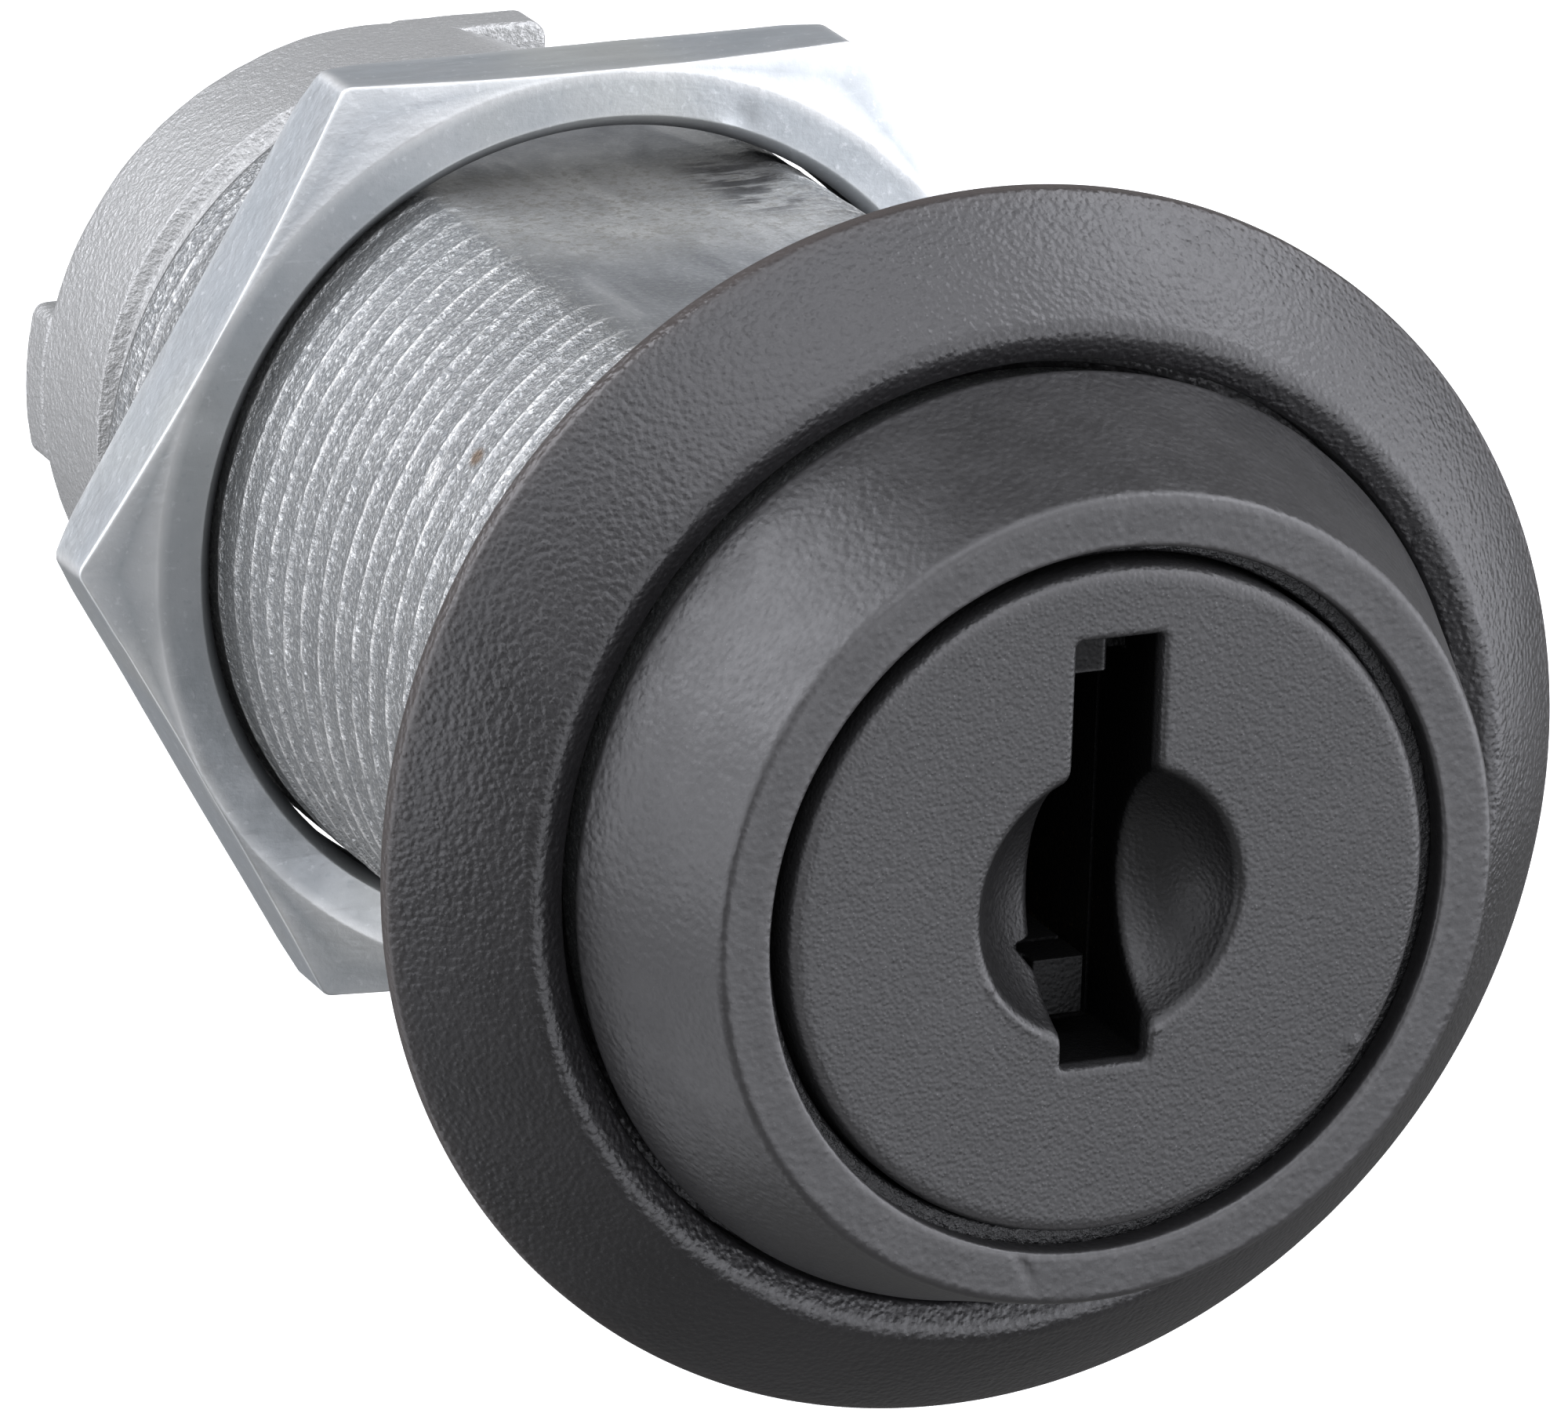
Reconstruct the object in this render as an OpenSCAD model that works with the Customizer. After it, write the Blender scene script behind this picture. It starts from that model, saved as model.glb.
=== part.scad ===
// Cam lock, wafer type, with a double-D threaded barrel and a round stepped head.
// The lock's axis is the Y axis and the front of the lock faces -Y. +Z is up and
// +X is to the right of someone facing the lock. The origin is on the axis, in
// the plane where the bezel ring rests on the front of the panel.
// Every piece is drawn in a front view: x to the right, y up and z out towards
// the key. front_view() turns the drawing into the lock's own axes.

/* [Barrel] */
// Major diameter of the barrel thread
thread_d = 19; // [18.8:0.1:19.3]
// Pitch of the barrel thread
thread_pitch = 1; // [0.9:0.05:1.5]
// Depth of the worn, cast thread
thread_depth = 0.28; // [0.15:0.01:0.35]
// Distance across the two flats of the barrel
flat_af = 16.6; // [16.2:0.1:17]
// Distance from the panel face to the end of the thread
thread_end = 27.5; // [26.8:0.1:28.5]
// Distance from the panel face to the back of the barrel
barrel_end = 34.6; // [34.2:0.1:35]
// Diameter of the plain collar at the back of the barrel
rear_d = 16.8; // [16.6:0.1:17.2]

/* [Head] */
// Outside diameter of the bezel ring
bezel_d = 28; // [27.5:0.1:30]
// Height of the bezel ring's crest above the panel
bezel_h = 2.62; // [2.4:0.02:2.7]
// Diameter of the collar at its foot
collar_d = 21.26; // [21:0.02:21.5]
// Diameter of the collar's flat front ring
collar_front_d = 18.2; // [18:0.1:18.6]
// Height of the collar's front ring above the panel
head_h = 7.1; // [6.9:0.05:7.3]

/* [Plug] */
// Diameter of the plug's body
plug_d = 13; // [12.9:0.01:13.04]
// Diameter of the plug's face
face_d = 15.06; // [14.8:0.02:15.1]
// Width of the keyway
key_w = 2.05; // [1.8:0.05:2.2]
// Top of the keyway at the face, above the axis
key_top = 5.95; // [5.7:0.05:6.1]
// Bottom of the keyway, below the axis
key_bottom = 3.7; // [3.5:0.05:3.9]
// Radius of the round dimple at the face
dimple_r = 3.1; // [2.8:0.05:3.4]
// Depth of the dimple
dimple_h = 2.2; // [1.8:0.05:2.4]

/* [Wafers] */
// Distance from one wafer to the next
wafer_pitch = 3; // [2.9:0.05:3.05]
// Thickness of a wafer
wafer_t = 0.9; // [0.8:0.02:0.94]
// Step between two key cuts
cut_step = 0.4; // [0.3:0.05:0.45]

/* [Nut] */
// Distance across the flats of the hexagon nut
nut_af = 22; // [21.5:0.1:24]
// Thickness of the nut
nut_t = 2.3; // [2:0.1:3.5]
// Distance from the panel face to the front of the nut
nut_pos = 20.5; // [3:0.5:22]

/* [Cam] */
// Length of the cam from the lock's axis to its tip
cam_len = 30; // [20:1:45]
// Width of the cam
cam_w = 12; // [11.6:0.1:14]
// Thickness of the cam
cam_t = 2.4; // [2.3:0.05:2.45]
// Direction of the cam, seen from the front, with 0 to the right
cam_dir = -45; // [-45:90:315]

/* [Hidden] */

zinc = [0.62, 0.64, 0.66];
black = [0.07, 0.07, 0.075];
brass = [0.72, 0.58, 0.30];
steel = [0.70, 0.72, 0.74];

play = 0.05;                    // gap between parts that fit together
overlap = 0.01;                 // how far cuts and joined solids run past a face

// Head and barrel
thread_r = thread_d / 2;
seat_z = 4.2;                   // shoulder that the plug's head turns on
shoulder_front = 2.6;           // front of the shoulder that holds the bezel ring
boss_r = 8.6;                   // boss under the collar

// Wafers, their springs and the pockets for them
wafer_count = 7;
wafer_w = 6;
wafer_r = 6.4;                  // radius of a wafer's round ends
first_z = -1.5;                 // middle of the first wafer
groove_z = -25.5;               // middle of the retaining wafer and its groove
ear_top = 1.2;
pocket_top = 4.1;
cuts = [1, 3, 0, 2, 1, 3, 2];   // key cut at each wafer, in steps, front to back

// Back end, from front to back
tang = 6.6;                     // side of the square on the plug's end
stop_t = 0.9;                   // thickness of the stop washer
stop_z = -(barrel_end + 0.15);  // front of the stop washer
cam_z = stop_z - stop_t - 0.1;  // front of the cam
cam_back = cam_z - cam_t;

function wafer_z(i) = first_z - i * wafer_pitch;

function arc_points(x, y, radius, start, end, steps) =
  [for (i = [0:steps]) let (angle = start + (end - start) * i / steps)
    [x + radius * cos(angle), y + radius * sin(angle)]];

module front_view() { rotate([90, 0, 0]) children(); }

// A plate standing across the axis, centred on z, from a flat outline
module plate(z, thickness) {
  translate([0, 0, z - thickness / 2]) linear_extrude(thickness) children();
}

// ---------- housing ----------

rear_r = rear_d / 2;
rear_chamfer = 0.25;
shoulder_r = 10.2;
shoulder_back = 1;
shoulder_chamfer = 0.15;
boss_front = head_h - 0.75;
thread_start = -1.2;
flat_cut = 5;                   // thickness of the block that cuts a flat
groove_r = 7.35;
groove_w = 1.4;
channel_w = 6.3;
channel_r = 7.42;
channel_back = -22.5;
lug_h = 1;                      // how far the lugs stand out behind the barrel
lug_root = 0.2;                 // how far they run into it
lug_inner_r = 6.75;

// Half section of the barrel, turned about the axis. The thread is plain rings.
module barrel_section() {
  pitch = thread_pitch;
  ring_count = floor((thread_end - 1.6) / pitch);
  root_r = thread_r - thread_depth;
  crest_edge_r = thread_r - 0.03;
  relief_r = rear_r - 0.4;
  polygon(concat(
    // rear collar and relief
    [[0, -barrel_end], [rear_r - rear_chamfer, -barrel_end],
     [rear_r, -barrel_end + rear_chamfer], [rear_r, -thread_end - 3.3],
     [relief_r, -thread_end - 3.1], [relief_r, -thread_end - 0.35]],
    // thread, from back to front
    [[thread_r - 0.3, -thread_end]],
    [for (i = [ring_count:-1:1]) each let (z = thread_start - i * pitch) [
      [crest_edge_r, z + 0.40 * pitch - 0.1],
      [thread_r, z + 0.40 * pitch],
      [crest_edge_r, z + 0.40 * pitch + 0.1],
      [root_r, z + 0.74 * pitch],
      [root_r, z + pitch]]],
    // neck, shoulder and boss
    [[thread_r - 0.3, -0.3], [thread_r, -0.1], [thread_r, shoulder_back],
     [shoulder_r - shoulder_chamfer, shoulder_back],
     [shoulder_r, shoulder_back + shoulder_chamfer],
     [shoulder_r, shoulder_front - shoulder_chamfer],
     [shoulder_r - shoulder_chamfer, shoulder_front],
     [boss_r, shoulder_front], [boss_r, boss_front - 0.15],
     [boss_r - 0.15, boss_front], [0, boss_front]]));
}

// One lug from a flat outline, trimmed to clear the bore
module lug() {
  translate([0, 0, -barrel_end - lug_h]) linear_extrude(lug_h + lug_root) difference() {
    union() children();
    circle(r = lug_inner_r, $fn = 96);
  }
}

// Two lugs on the back of the barrel that the stop washer turns between
module stop_lugs() {
  // left
  lug() intersection() {
    circle(r = rear_r, $fn = 96);
    translate([-10, -1.9]) square([10, 3.8]);
  }
  // top, with its outer right corner rounded
  lug() {
    translate([0.6, 6.2]) square([3.3, 1.9]);
    translate([0.6, 6.2]) square([3.9, 1.3]);
    translate([3.9, 7.5]) circle(r = 0.6, $fn = 32);
  }
}

module housing() {
  color(zinc) front_view() difference() {
    union() {
      difference() {
        rotate_extrude($fn = 128) barrel_section();
        // flats above and below
        for (y = [flat_af / 2, -flat_af / 2 - flat_cut])
          translate([-12, y, -thread_end - 0.4]) cube([24, flat_cut, thread_end + 0.1]);
      }
      stop_lugs();
    }
    // bore for the plug and the seat for its head
    translate([0, 0, -40]) cylinder(r = plug_d / 2 + play, h = 60, $fn = 128);
    translate([0, 0, seat_z]) cylinder(r = face_d / 2 + 0.1, h = 10, $fn = 128);
    // groove for the retaining wafer
    translate([0, 0, groove_z - groove_w / 2]) cylinder(r = groove_r, h = groove_w, $fn = 128);
    // four channels that the wafers drop into
    for (angle = [0, 90])
      translate([0, 0, channel_back])
        linear_extrude(seat_z - channel_back + overlap) intersection() {
          rotate(angle) square([channel_w, 20], center = true);
          circle(r = channel_r, $fn = 128);
        }
  }
}

// ---------- head ----------

module bezel_ring() {
  outer_r = bezel_d / 2;
  bore_r = 9.6;
  ledge_r = 10.32;              // step in the back of the bore, over the shoulder
  face_w = 2.3;
  rim_h = 0.52;
  crest_r = 0.36;
  color(black) front_view() rotate_extrude($fn = 160) polygon(concat(
    [[bore_r, 0], [outer_r - 0.15, 0], [outer_r, 0.12], [outer_r, 0.42]],
    // convex face from the rim to the crest
    [for (i = [0:10]) let (t = i / 10)
      [outer_r - 0.08 - face_w * t, rim_h + (bezel_h - rim_h) * (1.22 * t - 0.22 * t * t)]],
    arc_points(11.42, bezel_h - crest_r, crest_r, 80, 180, 6),
    [[11.02, 1.5], [11.0, 1.3], [ledge_r, 1.3], [ledge_r, 0.9], [bore_r, 0.9]]));
}

module head_collar() {
  foot_r = collar_d / 2;
  front_r = collar_front_d / 2;
  foot_z = shoulder_front + play;
  foot_round = 0.1;
  front_round = 0.36;
  lip_r = face_d / 2 + 0.42;    // opening around the plug's face
  lip_round = 0.18;
  lip_back = head_h - 0.68;
  color(black) front_view() rotate_extrude($fn = 160) polygon(concat(
    [[boss_r + play, foot_z], [foot_r - foot_round, foot_z]],
    arc_points(foot_r - foot_round, foot_z + foot_round, foot_round, -90, 18, 3),
    arc_points(front_r - 0.25, head_h - front_round, front_round, 18, 90, 6),
    arc_points(lip_r + lip_round, head_h - lip_round, lip_round, 90, 180, 4),
    [[lip_r, lip_back], [boss_r + play, lip_back]]));
}

// ---------- plug ----------

face_z = head_h + 0.05;         // front of the plug
face_round = 0.22;
slot_w = wafer_w + 2 * play;
slot_bottom = -8;
pocket_x = 2.9;                 // left side of a spring pocket
pocket_w = 1.75;
body_key_top = 5.1;             // top of the keyway behind the face

// Slot for one wafer, with the pocket for its spring to the right
module wafer_slot(z, thickness, top) {
  plate(z, thickness) {
    translate([-slot_w / 2, slot_bottom]) square([slot_w, top - slot_bottom]);
    translate([pocket_x, slot_bottom]) square([pocket_w, -slot_bottom]);
  }
  plate(z, 1.5) translate([pocket_x, -0.85]) square([pocket_w, pocket_top + 0.85]);
}

// Keyway in the front view, from its bottom to the given top
module key_outline(top) {
  translate([-key_w / 2, -key_bottom]) square([key_w, key_bottom + top]);
}

// Keyway: full height in the face, lower in the body
module keyway() {
  // behind the face, only the right side reaches full height
  translate([0, 0, seat_z + 1]) linear_extrude(10) difference() {
    key_outline(key_top);
    translate([-key_w / 2 - 1, 5.05]) square([1.9, 2]);
  }
  translate([0, 0, face_z - 0.55]) linear_extrude(10) key_outline(key_top);
  translate([0, 0, -23.5]) linear_extrude(40) difference() {
    key_outline(body_key_top);
    // ward that runs in the key's groove
    translate([-key_w / 2 - 1, -3.15]) square([2.35, 1.3]);
  }
  // the ward stops short of the face
  translate([0, 0, face_z - 1.65]) linear_extrude(10) key_outline(body_key_top);
}

module plug() {
  body_r = plug_d / 2;
  face_r = face_d / 2;
  hole_back = -50;
  hole_front = -29.5;
  dimple_sphere_r = (dimple_r * dimple_r + dimple_h * dimple_h) / (2 * dimple_h);
  color(black) front_view() difference() {
    union() {
      rotate_extrude($fn = 128) polygon(concat(
        [[0, -barrel_end - 0.1], [body_r - 0.2, -barrel_end - 0.1],
         [body_r, -barrel_end + 0.1], [body_r, seat_z + play], [face_r, seat_z + play]],
        arc_points(face_r - face_round, face_z - face_round, face_round, 0, 90, 5),
        [[0, face_z]]));
      translate([-tang / 2, -tang / 2, cam_back + 0.15]) cube([tang, tang, 8]);
    }
    keyway();
    translate([0, 0, face_z - dimple_h + dimple_sphere_r])
      sphere(r = dimple_sphere_r, $fn = 96);
    for (i = [0:wafer_count - 1]) wafer_slot(wafer_z(i), thickness = 1, top = 8);
    // the retaining wafer's slot is closed at the top
    wafer_slot(groove_z, thickness = 1.3, top = 5.5);
    // hole for the cam screw
    translate([0, 0, hole_back]) cylinder(r = 2.03, h = hole_front - hole_back, $fn = 48);
  }
}

// ---------- wafers and springs ----------

// Ear on the right of a wafer that its spring stands on
module spring_ear() { translate([2.5, 0.2]) square([2, ear_top - 0.2]); }

// Outline of a wafer: round ends, an ear for the spring, a window for the key
module wafer_outline(cut) {
  difference() {
    union() {
      intersection() {
        circle(r = wafer_r, $fn = 96);
        square([wafer_w, 14], center = true);
      }
      spring_ear();
    }
    translate([-1.15, -3.75 + cut * cut_step]) square([2.3, 7.4]);
  }
}

module wafer(i) {
  color(brass) front_view() plate(wafer_z(i), wafer_t) wafer_outline(cuts[i]);
}

// Solid wafer, round below and square above
module retaining_wafer() {
  color(brass) front_view() plate(groove_z, 1.2) {
    intersection() {
      translate([0, -0.8]) circle(r = wafer_r, $fn = 96);
      translate([-wafer_w / 2, -9]) square([wafer_w, 13.6]);
    }
    spring_ear();
  }
}

// Upright coil spring between an ear and the top of its pocket,
// as rings of points swept along a helix
module coil(z, turns) {
  axis_x = 3.9;
  coil_r = 0.48;
  wire_r = 0.11;
  bottom = ear_top + 0.14;
  top = pocket_top - 0.14;
  turn_steps = 12;
  sides = 6;                    // points around the wire
  steps = turn_steps * turns;
  points = [for (i = [0:steps])
    let (angle = i * 360 / turn_steps, y = bottom + (top - bottom) * i / steps)
    for (j = [0:sides - 1])
      let (wire_angle = j * 360 / sides, radius = coil_r + wire_r * cos(wire_angle))
      [axis_x + radius * cos(angle), y + wire_r * sin(wire_angle), z + radius * sin(angle)]];
  faces = concat(
    [[for (j = [0:sides - 1]) j]],
    [[for (j = [sides - 1:-1:0]) steps * sides + j]],
    [for (i = [0:steps - 1]) for (j = [0:sides - 1]) let (next = (j + 1) % sides)
      [i * sides + j, (i + 1) * sides + j, (i + 1) * sides + next, i * sides + next]]);
  polyhedron(points, faces, convexity = 10);
}

module wafer_spring(i) { color(steel) front_view() coil(wafer_z(i), turns = 5); }

module retaining_spring() { color(steel) front_view() coil(groove_z, turns = 6); }

// ---------- back end ----------

screw_r = 2;
screw_z = cam_back - 0.82;      // front of the screw's head

// Square hole that fits over the plug's tang
module tang_hole() { square(tang + 2 * play, center = true); }

// Washer whose tabs meet the lugs after a quarter turn
module stop_washer() {
  tab_r = 8.3;
  // left side and height of each tab, both from y = -9 up
  tabs = [[4.56, 18], [1.96, 9]];
  color(steel) front_view() translate([0, 0, stop_z - stop_t])
    linear_extrude(stop_t) difference() {
      union() {
        circle(r = 6.2, $fn = 96);
        for (tab = tabs) intersection() {
          circle(r = tab_r, $fn = 96);
          translate([tab[0], -9]) square([9, tab[1]]);
        }
      }
      tang_hole();
    }
}

module cam() {
  tip_x = cam_len - cam_w / 2;  // centre of the round tip
  color(steel) front_view() translate([0, 0, cam_back]) linear_extrude(cam_t) difference() {
    rotate(cam_dir) union() {
      circle(r = cam_w / 2 + 0.2, $fn = 96);
      translate([0, -cam_w / 2]) square([tip_x, cam_w]);
      translate([tip_x, 0]) circle(d = cam_w, $fn = 96);
    }
    tang_hole();
  }
}

// Washer with notches around its rim
module lock_washer() {
  notches = 10;
  notch_w = 0.9;
  color(steel) front_view() translate([0, 0, cam_back - 0.8])
    linear_extrude(0.78) difference() {
      circle(r = 5.2, $fn = 96);
      circle(r = screw_r + 0.2, $fn = 48);
      for (i = [0:notches - 1])
        rotate(i * 360 / notches + 9) translate([4.1, -notch_w / 2]) square([3, notch_w]);
    }
}

module cam_screw() {
  head_r = 3.9;
  head_t = 2.3;
  head_round = 1.2;
  rim_z = screw_z - head_t + head_round;
  shank_len = 7.7;
  shank_root = 0.5;             // how far the shank runs into the head
  recess_l = 4.2;
  recess_w = 0.8;
  recess_depth = 1.6;
  color(steel) front_view() difference() {
    union() {
      rotate_extrude($fn = 96) polygon(concat(
        [[0, screw_z], [head_r, screw_z], [head_r, rim_z]],
        arc_points(head_r - head_round, rim_z, head_round, 0, -90, 6),
        [[0, screw_z - head_t]]));
      translate([0, 0, screw_z - shank_root])
        cylinder(r = screw_r, h = shank_len + shank_root, $fn = 48);
      translate([0, 0, screw_z + shank_len - overlap])
        cylinder(r1 = screw_r, r2 = 1.6, h = 0.4, $fn = 48);
    }
    // cross recess
    for (angle = [45, 135]) rotate(angle)
      translate([-recess_l / 2, -recess_w / 2, screw_z - head_t - 1])
        cube([recess_l, recess_w, recess_depth + 1]);
  }
}

module mounting_nut() {
  corner_r = nut_af / sqrt(3);
  bore_r = thread_r + play;
  edge = 0.31;                  // chamfer at each end of the bore
  color(steel) front_view() translate([0, 0, -nut_pos - nut_t]) difference() {
    intersection() {
      cylinder(r = corner_r, h = nut_t, $fn = 6);
      // chamfered corners, deeper on the front
      rotate_extrude($fn = 128) polygon([[0, 0], [corner_r - 0.5, 0], [corner_r, 0.28],
        [corner_r, nut_t - 0.5], [nut_af / 2, nut_t], [0, nut_t]]);
    }
    translate([0, 0, -1]) cylinder(r = bore_r, h = nut_t + 2, $fn = 128);
    translate([0, 0, nut_t - edge + overlap])
      cylinder(r1 = bore_r, r2 = bore_r + edge, h = edge, $fn = 128);
    translate([0, 0, -overlap])
      cylinder(r1 = bore_r + edge, r2 = bore_r, h = edge, $fn = 128);
  }
}

housing();
bezel_ring();
head_collar();
plug();
wafer(0);  // wafer_1
wafer(1);  // wafer_2
wafer(2);  // wafer_3
wafer(3);  // wafer_4
wafer(4);  // wafer_5
wafer(5);  // wafer_6
wafer(6);  // wafer_7
wafer_spring(0);  // wafer_spring_1
wafer_spring(1);  // wafer_spring_2
wafer_spring(2);  // wafer_spring_3
wafer_spring(3);  // wafer_spring_4
wafer_spring(4);  // wafer_spring_5
wafer_spring(5);  // wafer_spring_6
wafer_spring(6);  // wafer_spring_7
retaining_wafer();
retaining_spring();
stop_washer();
cam();
lock_washer();
cam_screw();
mounting_nut();
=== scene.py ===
"""A cam lock: coated bezel ring, collar and plug face, threaded zinc barrel with its
mounting nut, brass wafers and springs inside, and a plated cam screwed on at the back.

Shapes are worked out in a front view in millimetres: x to the right, y up and z out
towards the key, with the lock's axis along z. The row frame has the same axis along y:
a front-view point (x, y, z) lies at (x, -z, y), in metres, so the face looks to -Y.
"""
import bpy
import bmesh
import math
import numpy as np
from itertools import product
from mathutils import Matrix, Vector


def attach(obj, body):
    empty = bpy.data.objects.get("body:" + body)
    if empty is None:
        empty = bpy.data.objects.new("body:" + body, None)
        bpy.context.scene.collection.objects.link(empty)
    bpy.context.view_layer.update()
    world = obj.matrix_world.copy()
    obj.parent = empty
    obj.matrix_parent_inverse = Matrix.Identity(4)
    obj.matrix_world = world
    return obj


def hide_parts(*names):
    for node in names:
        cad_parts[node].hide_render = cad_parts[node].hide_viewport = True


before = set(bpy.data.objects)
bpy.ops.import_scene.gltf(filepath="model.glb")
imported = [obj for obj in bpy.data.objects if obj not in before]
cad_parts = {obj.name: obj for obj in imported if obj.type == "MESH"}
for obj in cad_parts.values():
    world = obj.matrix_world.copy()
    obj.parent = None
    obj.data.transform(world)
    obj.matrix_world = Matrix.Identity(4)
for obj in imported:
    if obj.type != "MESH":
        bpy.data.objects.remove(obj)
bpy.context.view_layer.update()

TAU = 2 * math.pi
DIAGONAL = math.sqrt(0.5)

# Shared sizes, in millimetres
RING_RADIUS, RING_HEIGHT = 14.0, 2.62
NUT_RADIUS = 11.0                       # axis to a flat side
NUT_FRONT, NUT_BACK = -20.5, -22.8
THREAD_END, BARREL_END = -27.5, -34.6
FLAT_HEIGHT = 8.3                       # axis to the barrel's upper and lower flats
BACK_BORE = 6.56
STOP_RADIUS = 8.38                      # barrel's back end and its lug
FACE_Z, FACE_RADIUS = 7.15, 7.53
DIMPLE_RADIUS, DIMPLE_DEPTH = 3.1, 2.2
KEYWAY_HALF, KEYWAY_BOTTOM = 0.885, -3.56
WAFER_FRONT, WAFER_PITCH = -1.5, 3      # centre of the first wafer, spacing to the back
WAFER_CUTS = (1, 3, 0, 2, 1, 3, 2)      # window offsets upwards, in steps of CUT_STEP
CUT_STEP = 0.4
RETAINER_Z = -25.5
DRIVE_HALF = 3.35                       # square holes in the stop washer and the cam
HUB_RADIUS = 6.19
STOP_WASHER_FRONT, STOP_WASHER_THICKNESS = -34.76, 0.88
CAM_FRONT, CAM_BACK = -35.76, -38.14
CAM_REACH, CAM_HALF_WIDTH = 24, 5.99
LOCK_WASHER_Z = -38.56
SCREW_SEAT = -38.97


# ------------------------------------------------------------------ noise and blending

def lattice_hash(ix, iy, iz, seed):
    """A value from 0 to 1 for each lattice point."""
    mixed = (ix * 374761393 + iy * 668265263 + iz * 1440662683 + seed * 1274126177) & 0xFFFFFFFF
    mixed = ((mixed ^ (mixed >> 13)) * 1274126177) & 0xFFFFFFFF
    mixed = mixed ^ (mixed >> 16)
    return (mixed & 0xFFFFFF) / float(0xFFFFFF)


def value_noise(x, y, z, size, seed):
    """Smooth value noise from -1 to 1, with lumps of about the given size."""
    scaled = [np.asarray(values, float) / size for values in (x, y, z)]
    lattice = [np.floor(values).astype(np.int64) for values in scaled]
    part = [values - low for values, low in zip(scaled, lattice)]
    part = [p * p * p * (p * (p * 6 - 15) + 10) for p in part]
    weights = [(1 - p, p) for p in part]
    total = 0
    for i, j, k in product((0, 1), repeat=3):
        total = total + (weights[0][i] * weights[1][j] * weights[2][k]
                         * lattice_hash(lattice[0] + i, lattice[1] + j, lattice[2] + k, seed))
    return total * 2 - 1


def layered_noise(x, y, z, size, octaves, seed):
    total, height = 0, 1.0
    for k in range(octaves):
        total = total + height * value_noise(x, y, z, size, seed + 17 * k)
        size, height = size * 0.5, height * 0.5
    return total


def step(start, end, x):
    """Smooth step from 0 at start to 1 at end, which may be the lower of the two."""
    t = np.clip((x - start) / (end - start), 0, 1)
    return t * t * (3 - 2 * t)


def bell(offset, width, offset_2=0, width_2=1):
    """Bell curve of height 1 over one offset, or over two at right angles."""
    return np.exp(-((offset / width) ** 2 + (offset_2 / width_2) ** 2))


# ------------------------------------------------------------------ meshes

def signed_volume(verts, quads):
    """Six times the enclosed volume, positive when the quads face outwards."""
    first, second, third, fourth = verts[quads.T]
    return (np.einsum("ij,ij->i", first, np.cross(second, third)).sum()
            + np.einsum("ij,ij->i", first, np.cross(third, fourth)).sum())


def to_row_frame(vectors):
    return np.stack([vectors[:, 0], -vectors[:, 2], vectors[:, 1]], 1)


def make_object(name, verts, quads, normals=None, attributes=None):
    """A smooth mesh object from front-view vertices and quads, turned outwards."""
    verts = to_row_frame(verts) * 0.001
    if signed_volume(verts, quads) < 0:
        quads = quads[:, ::-1]
    mesh = bpy.data.meshes.new(name)
    mesh.vertices.add(len(verts))
    mesh.vertices.foreach_set("co", verts.astype(np.float32).ravel())
    mesh.loops.add(4 * len(quads))
    mesh.loops.foreach_set("vertex_index", quads.astype(np.int32).ravel())
    mesh.polygons.add(len(quads))
    mesh.polygons.foreach_set("loop_start", np.arange(0, 4 * len(quads), 4, dtype=np.int32))
    mesh.update(calc_edges=True)
    mesh.validate()
    mesh.polygons.foreach_set("use_smooth", np.ones(len(mesh.polygons), bool))
    for key, values in (attributes or {}).items():
        attribute = mesh.attributes.new(key, "FLOAT", "POINT")
        attribute.data.foreach_set("value", np.asarray(values, np.float32).ravel())
    mesh.update()
    if normals is not None:
        mesh.normals_split_custom_set_from_vertices(to_row_frame(normals).tolist())
    return link_object(name, mesh)


def link_object(name, data):
    ob = bpy.data.objects.new(name, data)
    bpy.context.scene.collection.objects.link(ob)
    return ob


def dress(ob, material, body, node):
    """Give a piece its material, its body and the CAD node it stands for."""
    ob.data.materials.clear()
    ob.data.materials.append(material)
    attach(ob, body)
    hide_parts(node)


def grid_quads(rows, columns):
    """Quads of a closed ring of rows by a closed ring of columns."""
    i, j = np.meshgrid(np.arange(rows), np.arange(columns), indexing="ij")
    i2, j2 = (i + 1) % rows, (j + 1) % columns
    quads = [i * columns + j, i2 * columns + j, i2 * columns + j2, i * columns + j2]
    return np.stack(quads, -1).reshape(-1, 4)


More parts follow.
